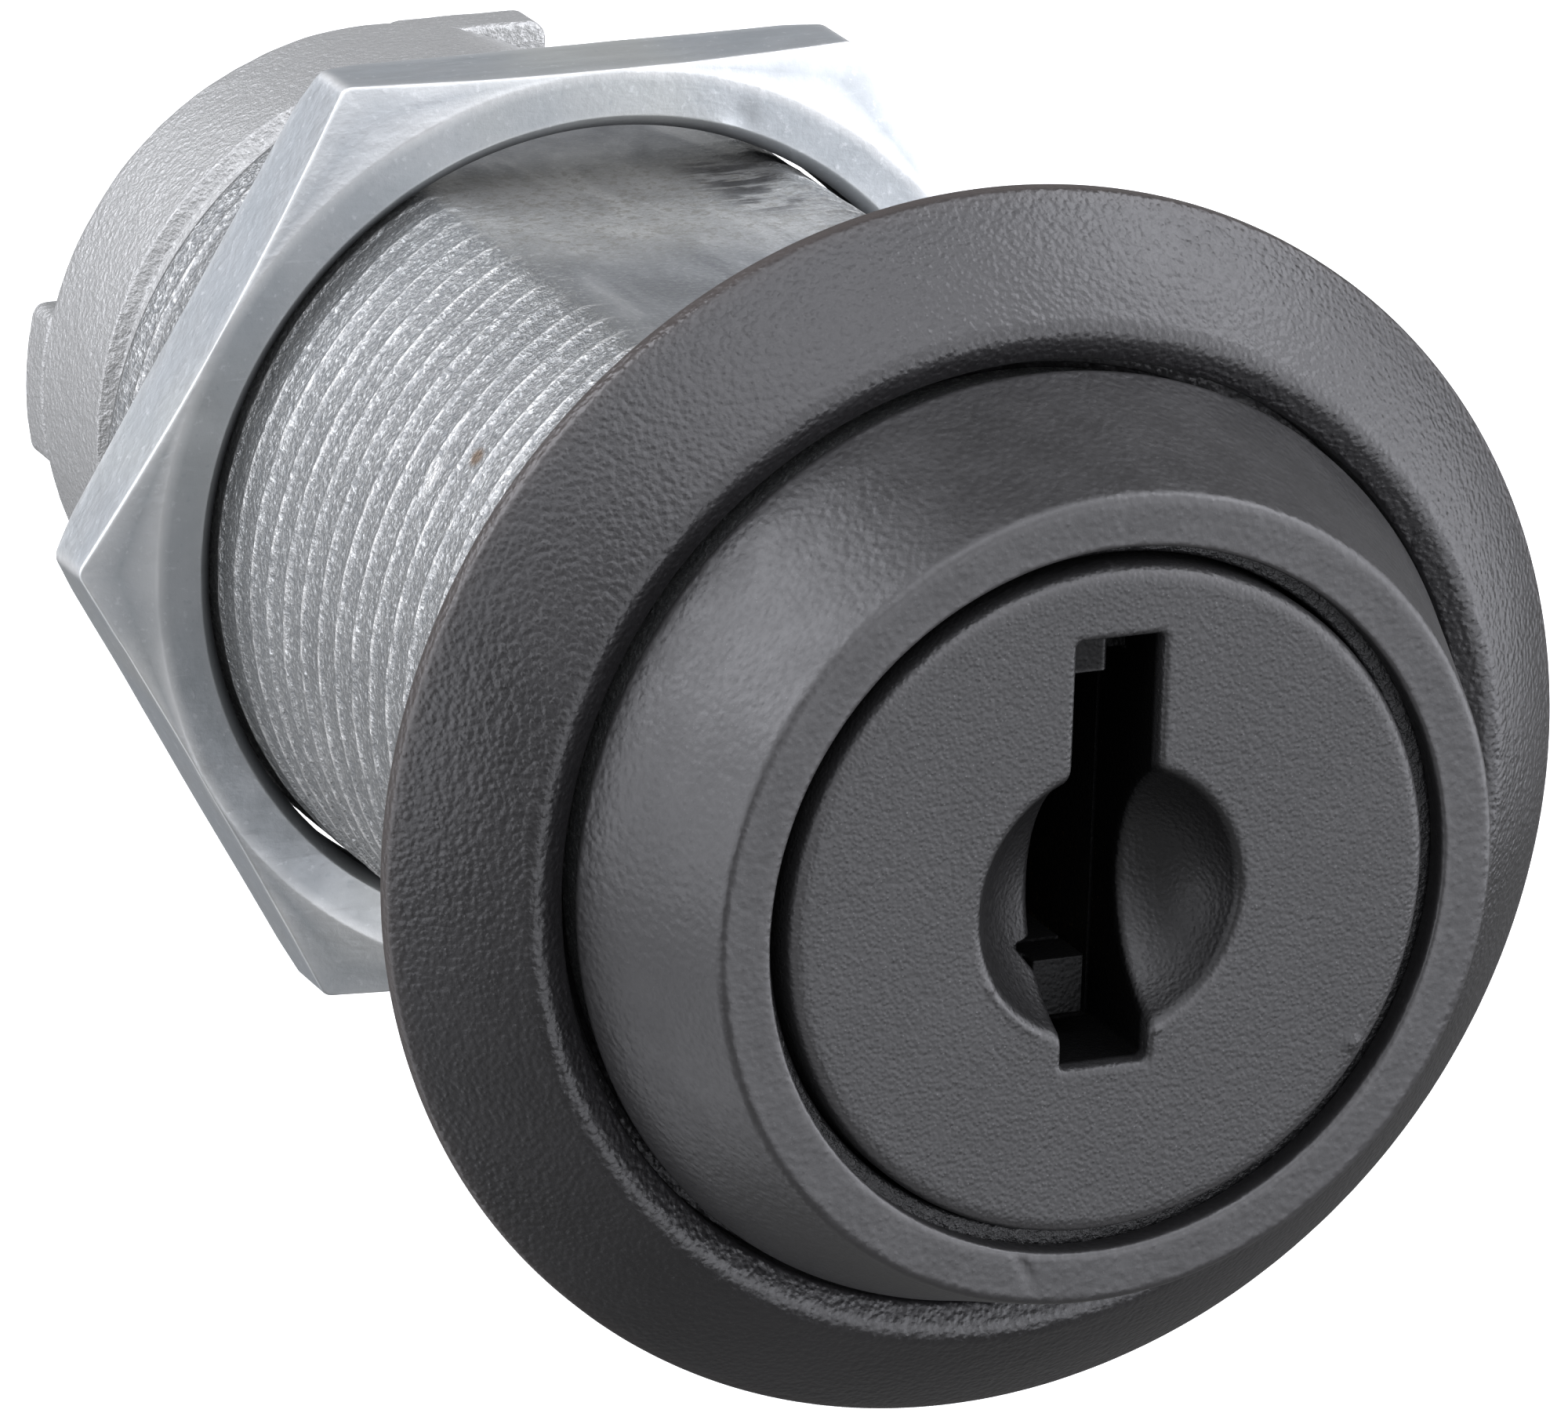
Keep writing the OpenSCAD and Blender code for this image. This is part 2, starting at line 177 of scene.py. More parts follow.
def rounded_profile(corners, closed=True):
    """Rows of (radius, z) along a profile with rounded corners.

    Each corner is (radius, z, rounding, arc steps, steps to the next corner), where
    radius and z may be arrays over the columns. A corner without rounding has no arc.
    """
    count = len(corners)
    columns = max(np.size(value) for corner in corners for value in corner[:2])
    places = np.array([[np.broadcast_to(value, columns) for value in corner[:2]]
                       for corner in corners], float)
    starts, ends = [], []
    for i, here in enumerate(places):
        back, ahead = places[i - 1] - here, places[(i + 1) % count] - here
        back_length, ahead_length = np.hypot(*back) + 1e-9, np.hypot(*ahead) + 1e-9
        back, ahead = back / back_length, ahead / ahead_length
        half_angle = np.arccos(np.clip((back * ahead).sum(0), -1, 1)) / 2
        reach = corners[i][2] / np.maximum(np.tan(half_angle), 1e-3)
        reach = np.minimum(reach, 0.46 * np.minimum(back_length, ahead_length))
        starts.append(here + back * reach)
        ends.append(here + ahead * reach)
    rows = []
    for i, (_, _, _, arc_steps, line_steps) in enumerate(corners):
        for t in np.linspace(0, 1, arc_steps + 1):
            rows.append((1 - t) ** 2 * starts[i] + 2 * t * (1 - t) * places[i] + t * t * ends[i])
        if i == count - 1 and not closed:
            break
        line = starts[(i + 1) % count] - ends[i]
        if line_steps >= 3:
            # rows close to both ends keep the shading of the arcs off the straight part
            margin = np.minimum(0.05 / (np.hypot(*line) + 1e-9), 0.3)
            between = np.linspace(0, 1, line_steps - 1)[1:-1]
            fractions = [margin, *[margin + (1 - 2 * margin) * t for t in between], 1 - margin]
        else:
            fractions = np.linspace(0, 1, line_steps + 1)[1:-1]
        rows += [ends[i] + line * fraction for fraction in fractions]
    return np.array(rows)


def spun(profile, angles):
    """Front-view points (rows, columns, 3) of a profile turned about z, and their
    outward normals."""
    shape = (len(profile), len(angles))
    radius = np.broadcast_to(profile[:, 0], shape)
    z = np.broadcast_to(profile[:, 1], shape)
    points = np.stack([radius * np.cos(angles), radius * np.sin(angles), z], -1)
    along = np.roll(points, -1, 0) - np.roll(points, 1, 0)
    around = np.roll(points, -1, 1) - np.roll(points, 1, 1)
    normals = np.cross(along, around)
    normals /= np.linalg.norm(normals, axis=-1, keepdims=True) + 1e-12
    verts, quads = points.reshape(-1, 3), grid_quads(*shape)
    first, second, third, _ = verts[quads.T]
    faces = np.cross(second - first, third - first)
    agreement = np.einsum("ij,ij->i", faces, normals.reshape(-1, 3)[quads[:, 0]]).sum()
    if (signed_volume(verts, quads) > 0) != (agreement > 0):
        normals = -normals
    return points, normals


def spun_object(name, points, attributes):
    quads = grid_quads(*points.shape[:2])
    return make_object(name, points.reshape(-1, 3), quads, attributes=attributes)


# --------------------------------------------------- surfaces from distances

def smooth_max(a, b, width):
    overlap = np.maximum(width - np.abs(a - b), 0) / width
    return np.maximum(a, b) + overlap * overlap * width * 0.25


def smooth_min(a, b, width):
    overlap = np.maximum(width - np.abs(a - b), 0) / width
    return np.minimum(a, b) - overlap * overlap * width * 0.25


def corner_distance(across, along):
    """Distance from the corner formed by two half-planes."""
    outside = np.hypot(np.maximum(across, 0), np.maximum(along, 0))
    return np.minimum(np.maximum(across, along), 0) + outside


def box(x, y, x_range, y_range):
    """Distance from a flat rectangle."""
    return corner_distance(np.maximum(x_range[0] - x, x - x_range[1]),
                           np.maximum(y_range[0] - y, y - y_range[1]))


def square_hole(x, y):
    return box(x, y, (-DRIVE_HALF, DRIVE_HALF), (-DRIVE_HALF, DRIVE_HALF))


def slab(outline, z, z_range, rounding):
    """An outline distance made solid over a range of z, with rounded edges."""
    ends = np.maximum(z_range[0] - z, z - z_range[1])
    return corner_distance(outline + rounding, ends + rounding) - rounding


def spaced(*parts):
    """Grid lines from (start, end, spacing) parts, without doubles."""
    lines = []
    for start, end, spacing in parts:
        count = max(1, int(round((end - start) / spacing)))
        lines += list(np.linspace(start, end, count + 1)[:-1])
    lines.append(parts[-1][1])
    return np.array(lines)


def surface(name, distance, xs, ys, zs, attributes=None):
    """The closed surface where distance is 0, as quads, one vertex per crossed cell."""
    lines = (xs, ys, zs)
    values = distance(xs[:, None, None], ys[None, :, None], zs[None, None, :])
    values = np.broadcast_to(values, (len(xs), len(ys), len(zs)))
    inside = values < 0
    corners = list(product((0, 1), repeat=3))
    ends = (slice(None, -1), slice(1, None))
    at_corners = [inside[ends[i], ends[j], ends[k]] for i, j, k in corners]
    crossed = np.logical_or.reduce(at_corners) & ~np.logical_and.reduce(at_corners)
    cells = np.argwhere(crossed)
    index = np.full(crossed.shape, -1, np.int64)
    index[tuple(cells.T)] = np.arange(len(cells))

    def corner_of_cells(corner):
        grid = (cells + corner).T
        return values[tuple(grid)], np.stack([line[i] for line, i in zip(lines, grid)], 1)

    # each vertex starts at the mean of the crossings on its cell's edges
    total, count = np.zeros((len(cells), 3)), np.zeros(len(cells))
    for corner in corners:
        value, place = corner_of_cells(corner)
        for axis in range(3):
            if corner[axis]:
                continue
            far_value, far_place = corner_of_cells([*corner[:axis], 1, *corner[axis + 1:]])
            cuts = (value < 0) != (far_value < 0)
            t = np.where(cuts, value / np.where(cuts, value - far_value, 1), 0)[:, None]
            total += np.where(cuts[:, None], place + (far_place - place) * t, 0)
            count += cuts
    points = total / count[:, None]

    # a quad joins the four cells around each crossed grid edge
    quads = []
    for axis in range(3):
        edges = np.argwhere(np.diff(inside, axis=axis))
        side, other = (axis + 1) % 3, (axis + 2) % 3
        edges = edges[(edges[:, side] > 0) & (edges[:, other] > 0)]
        ring = []
        for side_shift, other_shift in ((1, 1), (0, 1), (0, 0), (1, 0)):
            near = edges.copy()
            near[:, side] -= side_shift
            near[:, other] -= other_shift
            ring.append(index[tuple(near.T)])
        ring = np.stack(ring, 1)
        leaving = inside[tuple(edges.T)]
        ring[~leaving] = ring[~leaving][:, ::-1]
        quads.append(ring)
    quads = np.concatenate(quads)
    quads = quads[(quads >= 0).all(1)]

    def gradient(points):
        reach = 2e-3
        slopes = []
        for axis in range(3):
            shift = np.zeros(3)
            shift[axis] = reach
            slopes.append((distance(*(points + shift).T) - distance(*(points - shift).T))
                          / (2 * reach))
        return np.stack(slopes, 1)

    # four short moves bring the vertices onto the surface
    for _ in range(4):
        slope = gradient(points)
        steepness = np.maximum((slope * slope).sum(1), 0.2)
        move = -distance(*points.T)[:, None] * slope / steepness[:, None]
        length = np.linalg.norm(move, axis=1, keepdims=True)
        points = points + move * np.minimum(1, 0.05 / np.maximum(length, 1e-9))
    normals = gradient(points)
    normals /= np.linalg.norm(normals, axis=1, keepdims=True) + 1e-12
    extra = attributes(points, normals) if attributes else None
    return make_object(name, points, quads, normals=normals, attributes=extra)


# ------------------------------------------------------------------ materials

class Coating:
    """A node material under way. Positions are in the row frame, in millimetres."""

    def __init__(self, name):
        self.material = bpy.data.materials.new(name)
        self.material.use_nodes = True
        self.tree = self.material.node_tree
        self.tree.nodes.clear()
        output = self.tree.nodes.new("ShaderNodeOutputMaterial")
        self.shader = self.tree.nodes.new("ShaderNodeBsdfPrincipled")
        self.tree.links.new(self.shader.outputs[0], output.inputs[0])
        coordinates = self.tree.nodes.new("ShaderNodeTexCoord")
        scale = self.tree.nodes.new("ShaderNodeVectorMath")
        scale.operation = "SCALE"
        self.put(scale.inputs[0], coordinates.outputs["Object"])
        self.put(scale.inputs["Scale"], 1000.0)
        self.position = scale.outputs["Vector"]
        self.base = None

    def put(self, socket, value):
        """Link a socket to the input, or set the input to a plain value."""
        if hasattr(value, "links"):
            self.tree.links.new(value, socket)
        else:
            socket.default_value = value

    def vector_math(self, operation, a, b):
        node = self.tree.nodes.new("ShaderNodeVectorMath")
        node.operation = operation
        self.put(node.inputs[0], a)
        self.put(node.inputs[1], b)
        return node.outputs["Value" if operation == "DISTANCE" else "Vector"]

    def math(self, operation, a, b=None):
        node = self.tree.nodes.new("ShaderNodeMath")
        node.operation = operation
        self.put(node.inputs[0], a)
        if b is not None:
            self.put(node.inputs[1], b)
        return node.outputs[0]

    def times(self, a, by):
        return self.math("MULTIPLY", a, by)

    def plus(self, a, b):
        return self.math("ADD", a, b)

    def less(self, a, b):
        return self.math("SUBTRACT", a, b)

    def rest(self, a):
        """What is left of 1."""
        return self.less(1.0, a)

    def noise(self, size, detail=2.0, rough=0.5, distortion=0.0, stretch=None):
        """Noise from 0 to 1 with lumps of about the given size; stretch scales the
        position first, so a small factor draws the lumps out along that axis."""
        place = self.position
        if stretch:
            place = self.vector_math("MULTIPLY", place, stretch)
        node = self.tree.nodes.new("ShaderNodeTexNoise")
        node.noise_dimensions = "3D"
        self.put(node.inputs["Vector"], place)
        node.inputs["Scale"].default_value = 1.0 / size
        node.inputs["Detail"].default_value = detail
        node.inputs["Roughness"].default_value = rough
        node.inputs["Distortion"].default_value = distortion
        return node.outputs[0]

    def cells(self, size, feature="F1"):
        node = self.tree.nodes.new("ShaderNodeTexVoronoi")
        node.feature = feature
        self.put(node.inputs["Vector"], self.position)
        node.inputs["Scale"].default_value = 1.0 / size
        node.inputs["Randomness"].default_value = 1.0
        return node.outputs["Distance"]

    def ramp(self, factor, *stops):
        """Colour ramp from (position, colour) stops."""
        node = self.tree.nodes.new("ShaderNodeValToRGB")
        self.put(node.inputs[0], factor)
        elements = node.color_ramp.elements
        while len(elements) < len(stops):
            elements.new(0.5)
        for element, (position, colour) in zip(elements, stops):
            element.position = position
            element.color = (*colour, 1)
        return node.outputs[0]

    def map(self, value, span, to, smooth=True):
        """The span of the value mapped onto another range, and held beyond its ends."""
        node = self.tree.nodes.new("ShaderNodeMapRange")
        node.interpolation_type = "SMOOTHSTEP" if smooth else "LINEAR"
        for socket, setting in zip(node.inputs, (value, *span, *to)):
            self.put(socket, setting)
        return node.outputs[0]

    def tint(self, where, colour, strength=None):
        """Mix a colour into the base colour, as strongly as where (times strength)."""
        if strength is not None:
            where = self.times(where, by=strength)
        node = self.tree.nodes.new("ShaderNodeMix")
        node.data_type = "RGBA"
        node.blend_type = "MIX"
        self.put(node.inputs[0], where)
        self.put(node.inputs[6], self.base)
        self.put(node.inputs[7], colour if hasattr(colour, "links") else (*colour, 1))
        self.base = node.outputs[2]

    def attribute(self, name):
        node = self.tree.nodes.new("ShaderNodeAttribute")
        node.attribute_name = name
        return node.outputs["Fac"]

    def bump(self, height, depth, over=None):
        """Bump of the given depth in millimetres for a height of 0 to 1."""
        node = self.tree.nodes.new("ShaderNodeBump")
        node.inputs["Strength"].default_value = 1.0
        node.inputs["Distance"].default_value = depth * 0.001
        self.put(node.inputs["Height"], height)
        if over is not None:
            self.put(node.inputs["Normal"], over)
        return node.outputs[0]

    def finish(self, roughness, normal, metallic=None, specular=None):
        settings = {"Base Color": self.base, "Roughness": roughness, "Normal": normal,
                    "Metallic": metallic, "Specular IOR Level": specular}
        for name, value in settings.items():
            if value is not None:
                self.put(self.shader.inputs[name], value)
        return self.material


def powder_coat(name, dark, light, speck_reach, speck_most, speck_colour, edge_strength,
                edge_colour, rough, mottle_size, mottle_span, peel_share, cell_size,
                peel_depth, fine_depth):
    """Black powder coat with pale specks, and pale edges that are partly wear and partly a
    painted highlight. Without a mottle size, the roughness is mottled by the same noise as the
    colour."""
    m = Coating(name)
    edge = m.attribute("edge")
    cloud = m.noise(size=3.5, detail=3, rough=0.55)
    fine = m.noise(size=0.14, detail=2, rough=0.6)
    speck = m.cells(size=0.16)
    m.base = m.ramp(cloud, (0.3, dark), (0.7, light))
    m.tint(m.map(speck, span=(0.0, speck_reach), to=(speck_most, 0.0)), colour=speck_colour)
    # pale edges, partly wear and partly a painted highlight
    m.tint(edge, colour=edge_colour, strength=edge_strength)
    mottle = cloud if mottle_size is None else m.noise(size=mottle_size, detail=2, rough=0.5)
    roughness = m.plus(m.map(fine, span=(0.25, 0.75), to=rough),
                       m.map(mottle, span=mottle_span, to=(-0.03, 0.04)))
    lumps = m.times(m.noise(size=0.24, detail=1.0, rough=0.5), by=peel_share)
    peel = m.less(lumps, m.cells(size=cell_size, feature="SMOOTH_F1"))
    normal = m.bump(fine, depth=fine_depth, over=m.bump(peel, depth=peel_depth))
    return m.finish(roughness, normal, specular=0.75)


def face_material():
    """Black coat on the plug's face, with a slightly drier, grainier finish."""
    m = Coating("plug_coat")
    edge = m.attribute("edge")
    inner = m.attribute("inner")
    bowl = m.attribute("bowl")
    cloud = m.noise(size=2.2, detail=3, rough=0.55)
    fine = m.noise(size=0.13, detail=2, rough=0.6)
    speck = m.cells(size=0.17)
    m.base = m.ramp(cloud, (0.3, (0.014, 0.0139, 0.0142)), (0.7, (0.019, 0.0188, 0.0192)))
    m.tint(m.map(speck, span=(0.0, 0.16), to=(0.55, 0.0)), colour=(0.15, 0.148, 0.15))
    # pale edges: painted highlights along the face's rim, the dimple's rim, the ward and the
    # block, partly wear
    m.tint(edge, colour=(0.085, 0.083, 0.084), strength=0.5)
    # painted shade in the dimple
    m.tint(bowl, colour=(0.0075, 0.0073, 0.0074))
    # painted shade in the keyway and on the plug's body
    m.tint(inner, colour=(0.003, 0.003, 0.003))
    # painted shade in the reflections too: the keyway reflects least, the dimple a little less
    # than the face
    face_specular = 0.66
    specular = m.less(m.less(face_specular, m.times(inner, by=0.54)), m.times(bowl, by=0.16))
    roughness = m.less(m.map(fine, span=(0.25, 0.75), to=(0.37, 0.49)), m.times(bowl, by=0.03))
    lumps = m.times(m.noise(size=0.15, detail=1.0, rough=0.5), by=0.4)
    grain = m.less(lumps, m.cells(size=0.095, feature="SMOOTH_F1"))
    grain = m.times(grain, by=m.rest(m.times(bowl, by=0.45)))
    normal = m.bump(fine, depth=0.008, over=m.bump(grain, depth=0.020))
    return m.finish(roughness, normal, specular=specular)


def zinc_cast_material():
    """Bare zinc die casting: fine grain, pale crests that are partly wear and partly a painted
    highlight, and darker valleys.
    """
    m = Coating("zinc_casting")
    crest = m.attribute("crest")
    flat = m.attribute("flat")
    cloud = m.noise(size=2.6, detail=4, rough=0.6)
    streak = m.noise(size=1.0, detail=4, rough=0.6, distortion=0.8, stretch=(0.55, 0.22, 0.55))
    grain = m.noise(size=0.13, detail=2, rough=0.7)
    pits = m.cells(size=0.22)
    broken = m.noise(size=0.55, detail=3, rough=0.65)
    m.base = m.ramp(cloud, (0.25, (0.255, 0.260, 0.258)), (0.75, (0.350, 0.355, 0.350)))
    split = m.tree.nodes.new("ShaderNodeSeparateXYZ")
    m.put(split.inputs[0], m.position)
    x, row_y, row_z = split.outputs
    front_z = m.times(row_y, by=-1.0)
    m.tint(m.map(grain, span=(0.36, 0.56), to=(0.75, 0.0)), colour=(0.19, 0.20, 0.205))
    m.tint(m.map(grain, span=(0.56, 0.70), to=(0.0, 0.70)), colour=(0.70, 0.72, 0.72))

    # thin, broken, pale line along the crest of the thread, whose pitch is 1 mm: partly worn
    # metal, partly a painted highlight where the crest catches the light
    turn = m.math("DIVIDE", m.math("ARCTAN2", row_z, x), TAU)
    wobble = m.map(m.noise(size=1.2, detail=2, rough=0.6), span=(0.3, 0.7),
                   to=(-0.035, 0.035), smooth=False)
    phase = m.plus(m.less(front_z, turn), m.plus(wobble, 0.5))
    off_crest = m.math("ABSOLUTE", m.less(m.math("FRACT", phase), 0.5))
    line = m.times(m.map(off_crest, span=(0.01, 0.085), to=(1.0, 0.0)),
                   by=m.attribute("thread"))
    line = m.times(line, by=m.map(broken, span=(0.38, 0.60), to=(0.05, 1.0)))
    m.tint(m.math("MAXIMUM", line, crest), colour=(0.76, 0.76, 0.74), strength=0.75)

    streaks = m.ramp(streak, (0.34, (0.24, 0.25, 0.262)), (0.50, (0.37, 0.382, 0.395)),
                     (0.64, (0.56, 0.57, 0.57)))
    m.tint(flat, colour=streaks, strength=0.72)

    # sandy speckle on the flats towards the nut; the paler tone there is partly sandy colour and
    # partly painted light lifting the nut's shadow
    sand_and_painted_light = m.times(m.map(front_z, span=(-13.5, -17.0), to=(0.0, 1.0)),
                   by=m.map(front_z, span=(-22.5, -21.0), to=(0.0, 1.0)))
    sand_and_painted_light = m.times(flat, by=sand_and_painted_light)
    grit = m.map(m.noise(size=0.20, detail=3, rough=0.75), span=(0.50, 0.60), to=(0.0, 0.75))
    m.tint(m.times(sand_and_painted_light, by=grit), colour=(0.16, 0.15, 0.13))
    m.tint(sand_and_painted_light, colour=(0.58, 0.57, 0.53), strength=0.38)

    # painted shade in streaks on the right of the flats, in front of the nut
    painted_shade_streaks = m.times(m.map(x, span=(1.5, 2.7), to=(0.0, 1.0)),
                    by=m.map(front_z, span=(-16.4, -18.0), to=(0.0, 1.0)))
    painted_shade_streaks = m.times(painted_shade_streaks, by=m.map(front_z, span=(-22.0, -20.8), to=(0.0, 1.0)))
    patches = m.noise(size=0.5, detail=3, rough=0.6, stretch=(0.35, 1.3, 1.0))
    painted_shade_streaks = m.times(painted_shade_streaks, by=m.map(patches, span=(0.42, 0.56), to=(0.0, 0.85)))
    m.tint(m.times(painted_shade_streaks, by=flat), colour=(0.07, 0.07, 0.072))

    # paler back end, one small brown spot, and black coat on the head
    back = m.map(front_z, span=(-27.4, -28.0), to=(0.0, 1.0))
    m.tint(back, colour=(0.50, 0.50, 0.49), strength=0.6)
    coat = m.attribute("coat")
    from_spot = m.vector_math("DISTANCE", m.position, (-7.57, 10.13, 5.58))
    m.tint(m.map(from_spot, span=(0.10, 0.32), to=(0.85, 0.0)), colour=(0.16, 0.11, 0.07))
    m.tint(coat, colour=(0.012, 0.012, 0.0125))

    metallic = m.times(m.rest(coat), by=m.map(back, span=(0.0, 1.0), to=(0.80, 0.55)))
    roughness = m.plus(m.map(grain, span=(0.3, 0.7), to=(0.50, 0.38)), m.times(flat, by=-0.04))
    height = m.plus(grain, m.times(pits, by=0.3))
    height = m.times(height, by=m.rest(m.times(flat, by=0.7)))
    normal = m.bump(broken, depth=0.02, over=m.bump(height, depth=0.060))
    return m.finish(roughness, normal, metallic=metallic)


def plated_material(name, extra_warmth=0.0):
    """Bright zinc plate on steel: cloudy, faintly blue, with pale edges that are partly wear and
    partly a painted highlight, and marks.
    """
    m = Coating(name)
    edge = m.attribute("edge")
    cloud = m.noise(size=2.4, detail=4, rough=0.6)
    big = m.noise(size=7.0, detail=2, rough=0.5)
    fine = m.noise(size=0.22, detail=3, rough=0.6)
    hair = m.noise(size=0.35, detail=4, rough=0.7, distortion=0.4, stretch=(0.25, 1.6, 1.0))
    m.base = m.ramp(cloud, (0.28, (0.355, 0.38, 0.395)), (0.5, (0.43, 0.455, 0.470)),
                    (0.75, (0.51, 0.53, 0.542)))
    warm = (0.0, 0.35 + extra_warmth)
    m.tint(m.map(big, span=(0.50, 0.72), to=warm), colour=(0.62, 0.62, 0.55))
    m.tint(m.map(fine, span=(0.60, 0.72), to=(0.0, 0.30)), colour=(0.80, 0.82, 0.83))
    m.tint(m.map(fine, span=(0.40, 0.27), to=(0.0, 0.35)), colour=(0.34, 0.37, 0.39))
    m.tint(m.map(hair, span=(0.60, 0.74), to=(0.0, 0.35)), colour=(0.72, 0.74, 0.75))
    # pale edges, partly wear and partly a painted highlight
    m.tint(edge, colour=(0.84, 0.845, 0.83), strength=0.85)
    # painted shade inside a nut's bore
    m.tint(m.attribute("bore"), colour=(0.11, 0.115, 0.12))
    roughness = m.plus(m.map(cloud, span=(0.3, 0.7), to=(0.46, 0.36)),
                       m.map(hair, span=(0.3, 0.7), to=(0.05, -0.03)))
    waves = m.plus(m.times(cloud, by=0.8), m.times(fine, by=0.25))
    normal = m.bump(hair, depth=0.006, over=m.bump(waves, depth=0.035))
    return m.finish(roughness, normal, metallic=0.72)


def brass_material():
    m = Coating("brass_wafer")
    cloud = m.noise(size=1.6, detail=3, rough=0.6)
    hair = m.noise(size=0.2, detail=3, rough=0.7, stretch=(0.2, 1.0, 2.2))
    m.base = m.ramp(cloud, (0.3, (0.50, 0.36, 0.14)), (0.7, (0.66, 0.50, 0.22)))
    m.tint(m.map(hair, span=(0.58, 0.75), to=(0.0, 0.5)), colour=(0.82, 0.68, 0.36))
    roughness = m.map(hair, span=(0.3, 0.7), to=(0.26, 0.42))
    return m.finish(roughness, m.bump(hair, depth=0.006), metallic=1.0)


def spring_material():
    m = Coating("spring_steel")
    cloud = m.noise(size=0.6, detail=3, rough=0.6)
    m.base = m.ramp(cloud, (0.3, (0.42, 0.43, 0.44)), (0.7, (0.62, 0.63, 0.64)))
    roughness = m.map(cloud, span=(0.3, 0.7), to=(0.22, 0.36))
    normal = m.bump(m.noise(size=0.08, detail=2, rough=0.6), depth=0.002)
    return m.finish(roughness, normal, metallic=1.0)


RING_COAT = powder_coat(
    "ring_coat", dark=(0.0095, 0.0092, 0.0098), light=(0.0135, 0.0128, 0.0136),
    speck_reach=0.16, speck_most=0.35, speck_colour=(0.085, 0.082, 0.083),
    edge_strength=0.75, edge_colour=(0.060, 0.050, 0.046), rough=(0.31, 0.41),
    mottle_size=None, mottle_span=(0.3, 0.7), peel_share=0.40, cell_size=0.13,
    peel_depth=0.026, fine_depth=0.016)
COLLAR_COAT = powder_coat(
    "collar_coat", dark=(0.013, 0.0127, 0.0131), light=(0.018, 0.0175, 0.018),
    speck_reach=0.14, speck_most=0.45, speck_colour=(0.11, 0.108, 0.11),
    edge_strength=0.55, edge_colour=(0.075, 0.073, 0.074), rough=(0.34, 0.44),
    mottle_size=1.4, mottle_span=(0.35, 0.65), peel_share=0.5, cell_size=0.17,
    peel_depth=0.016, fine_depth=0.008)
FACE_COAT = face_material()
ZINC = zinc_cast_material()
PLATE = plated_material("zinc_plate")
BACK_PLATE = plated_material("zinc_plate_back", extra_warmth=0.15)
BRASS = brass_material()
SPRING = spring_material()


# ------------------------------------------------------------------ bezel ring

def ring_slope(t):
    """(radius, z) on the ring's sloping front, from t = 0 at the rim to 1 at the top."""
    return (RING_RADIUS - 0.08 - 2.3 * t,
            0.52 + (RING_HEIGHT - 0.54) * (1.22 * t - 0.22 * t * t))


def bezel_ring():
    angles = np.arange(840) * TAU / 840
    bore, ledge, rim = 9.62, 0.90, RING_RADIUS - 0.01
    # radius, z, rounding, arc steps, steps to the next corner
    profile = [
        (bore, 0.0, 0.08, 2, 4), (rim, 0.0, 0.12, 3, 2), (rim, 0.46, 0.22, 5, 0),
        *[(*ring_slope(t), 0.0, 0, 2) for t in np.linspace(0.10, 0.80, 15)],
        (11.463, 2.75, 1.15, 22, 2), (10.72, 2.40, 0.22, 6, 6), (10.74, 1.32, 0.05, 2, 2),
        (10.34, 1.32, 0.05, 2, 2), (10.34, ledge, 0.05, 2, 2), (bore, ledge, 0.05, 2, 3)]
    points, normals = spun(rounded_profile(profile), angles)
    x, y, z = np.moveaxis(points, -1, 0)
    radius = np.hypot(x, y)
    # coat texture on the visible front only
    visible = step(0.10, 0.6, z) * step(10.75, 10.85, radius)
    peel = 0.0015 * value_noise(x, y, z, size=0.26, seed=3)
    wave = 0.004 * layered_noise(x, y, z, size=3.5, octaves=2, seed=5)
    points = points + normals * ((peel + wave - 0.010) * visible)[..., None]
    # pale rim, partly wear and partly a painted highlight
    edge = step(0.62, 0.30, z) * step(13.3, 13.95, radius)
    ob = spun_object("bezel_ring_coated", points, {"edge": edge})
    dress(ob, RING_COAT, "barrel", "bezel_ring")


# ------------------------------------------------------------------ head collar

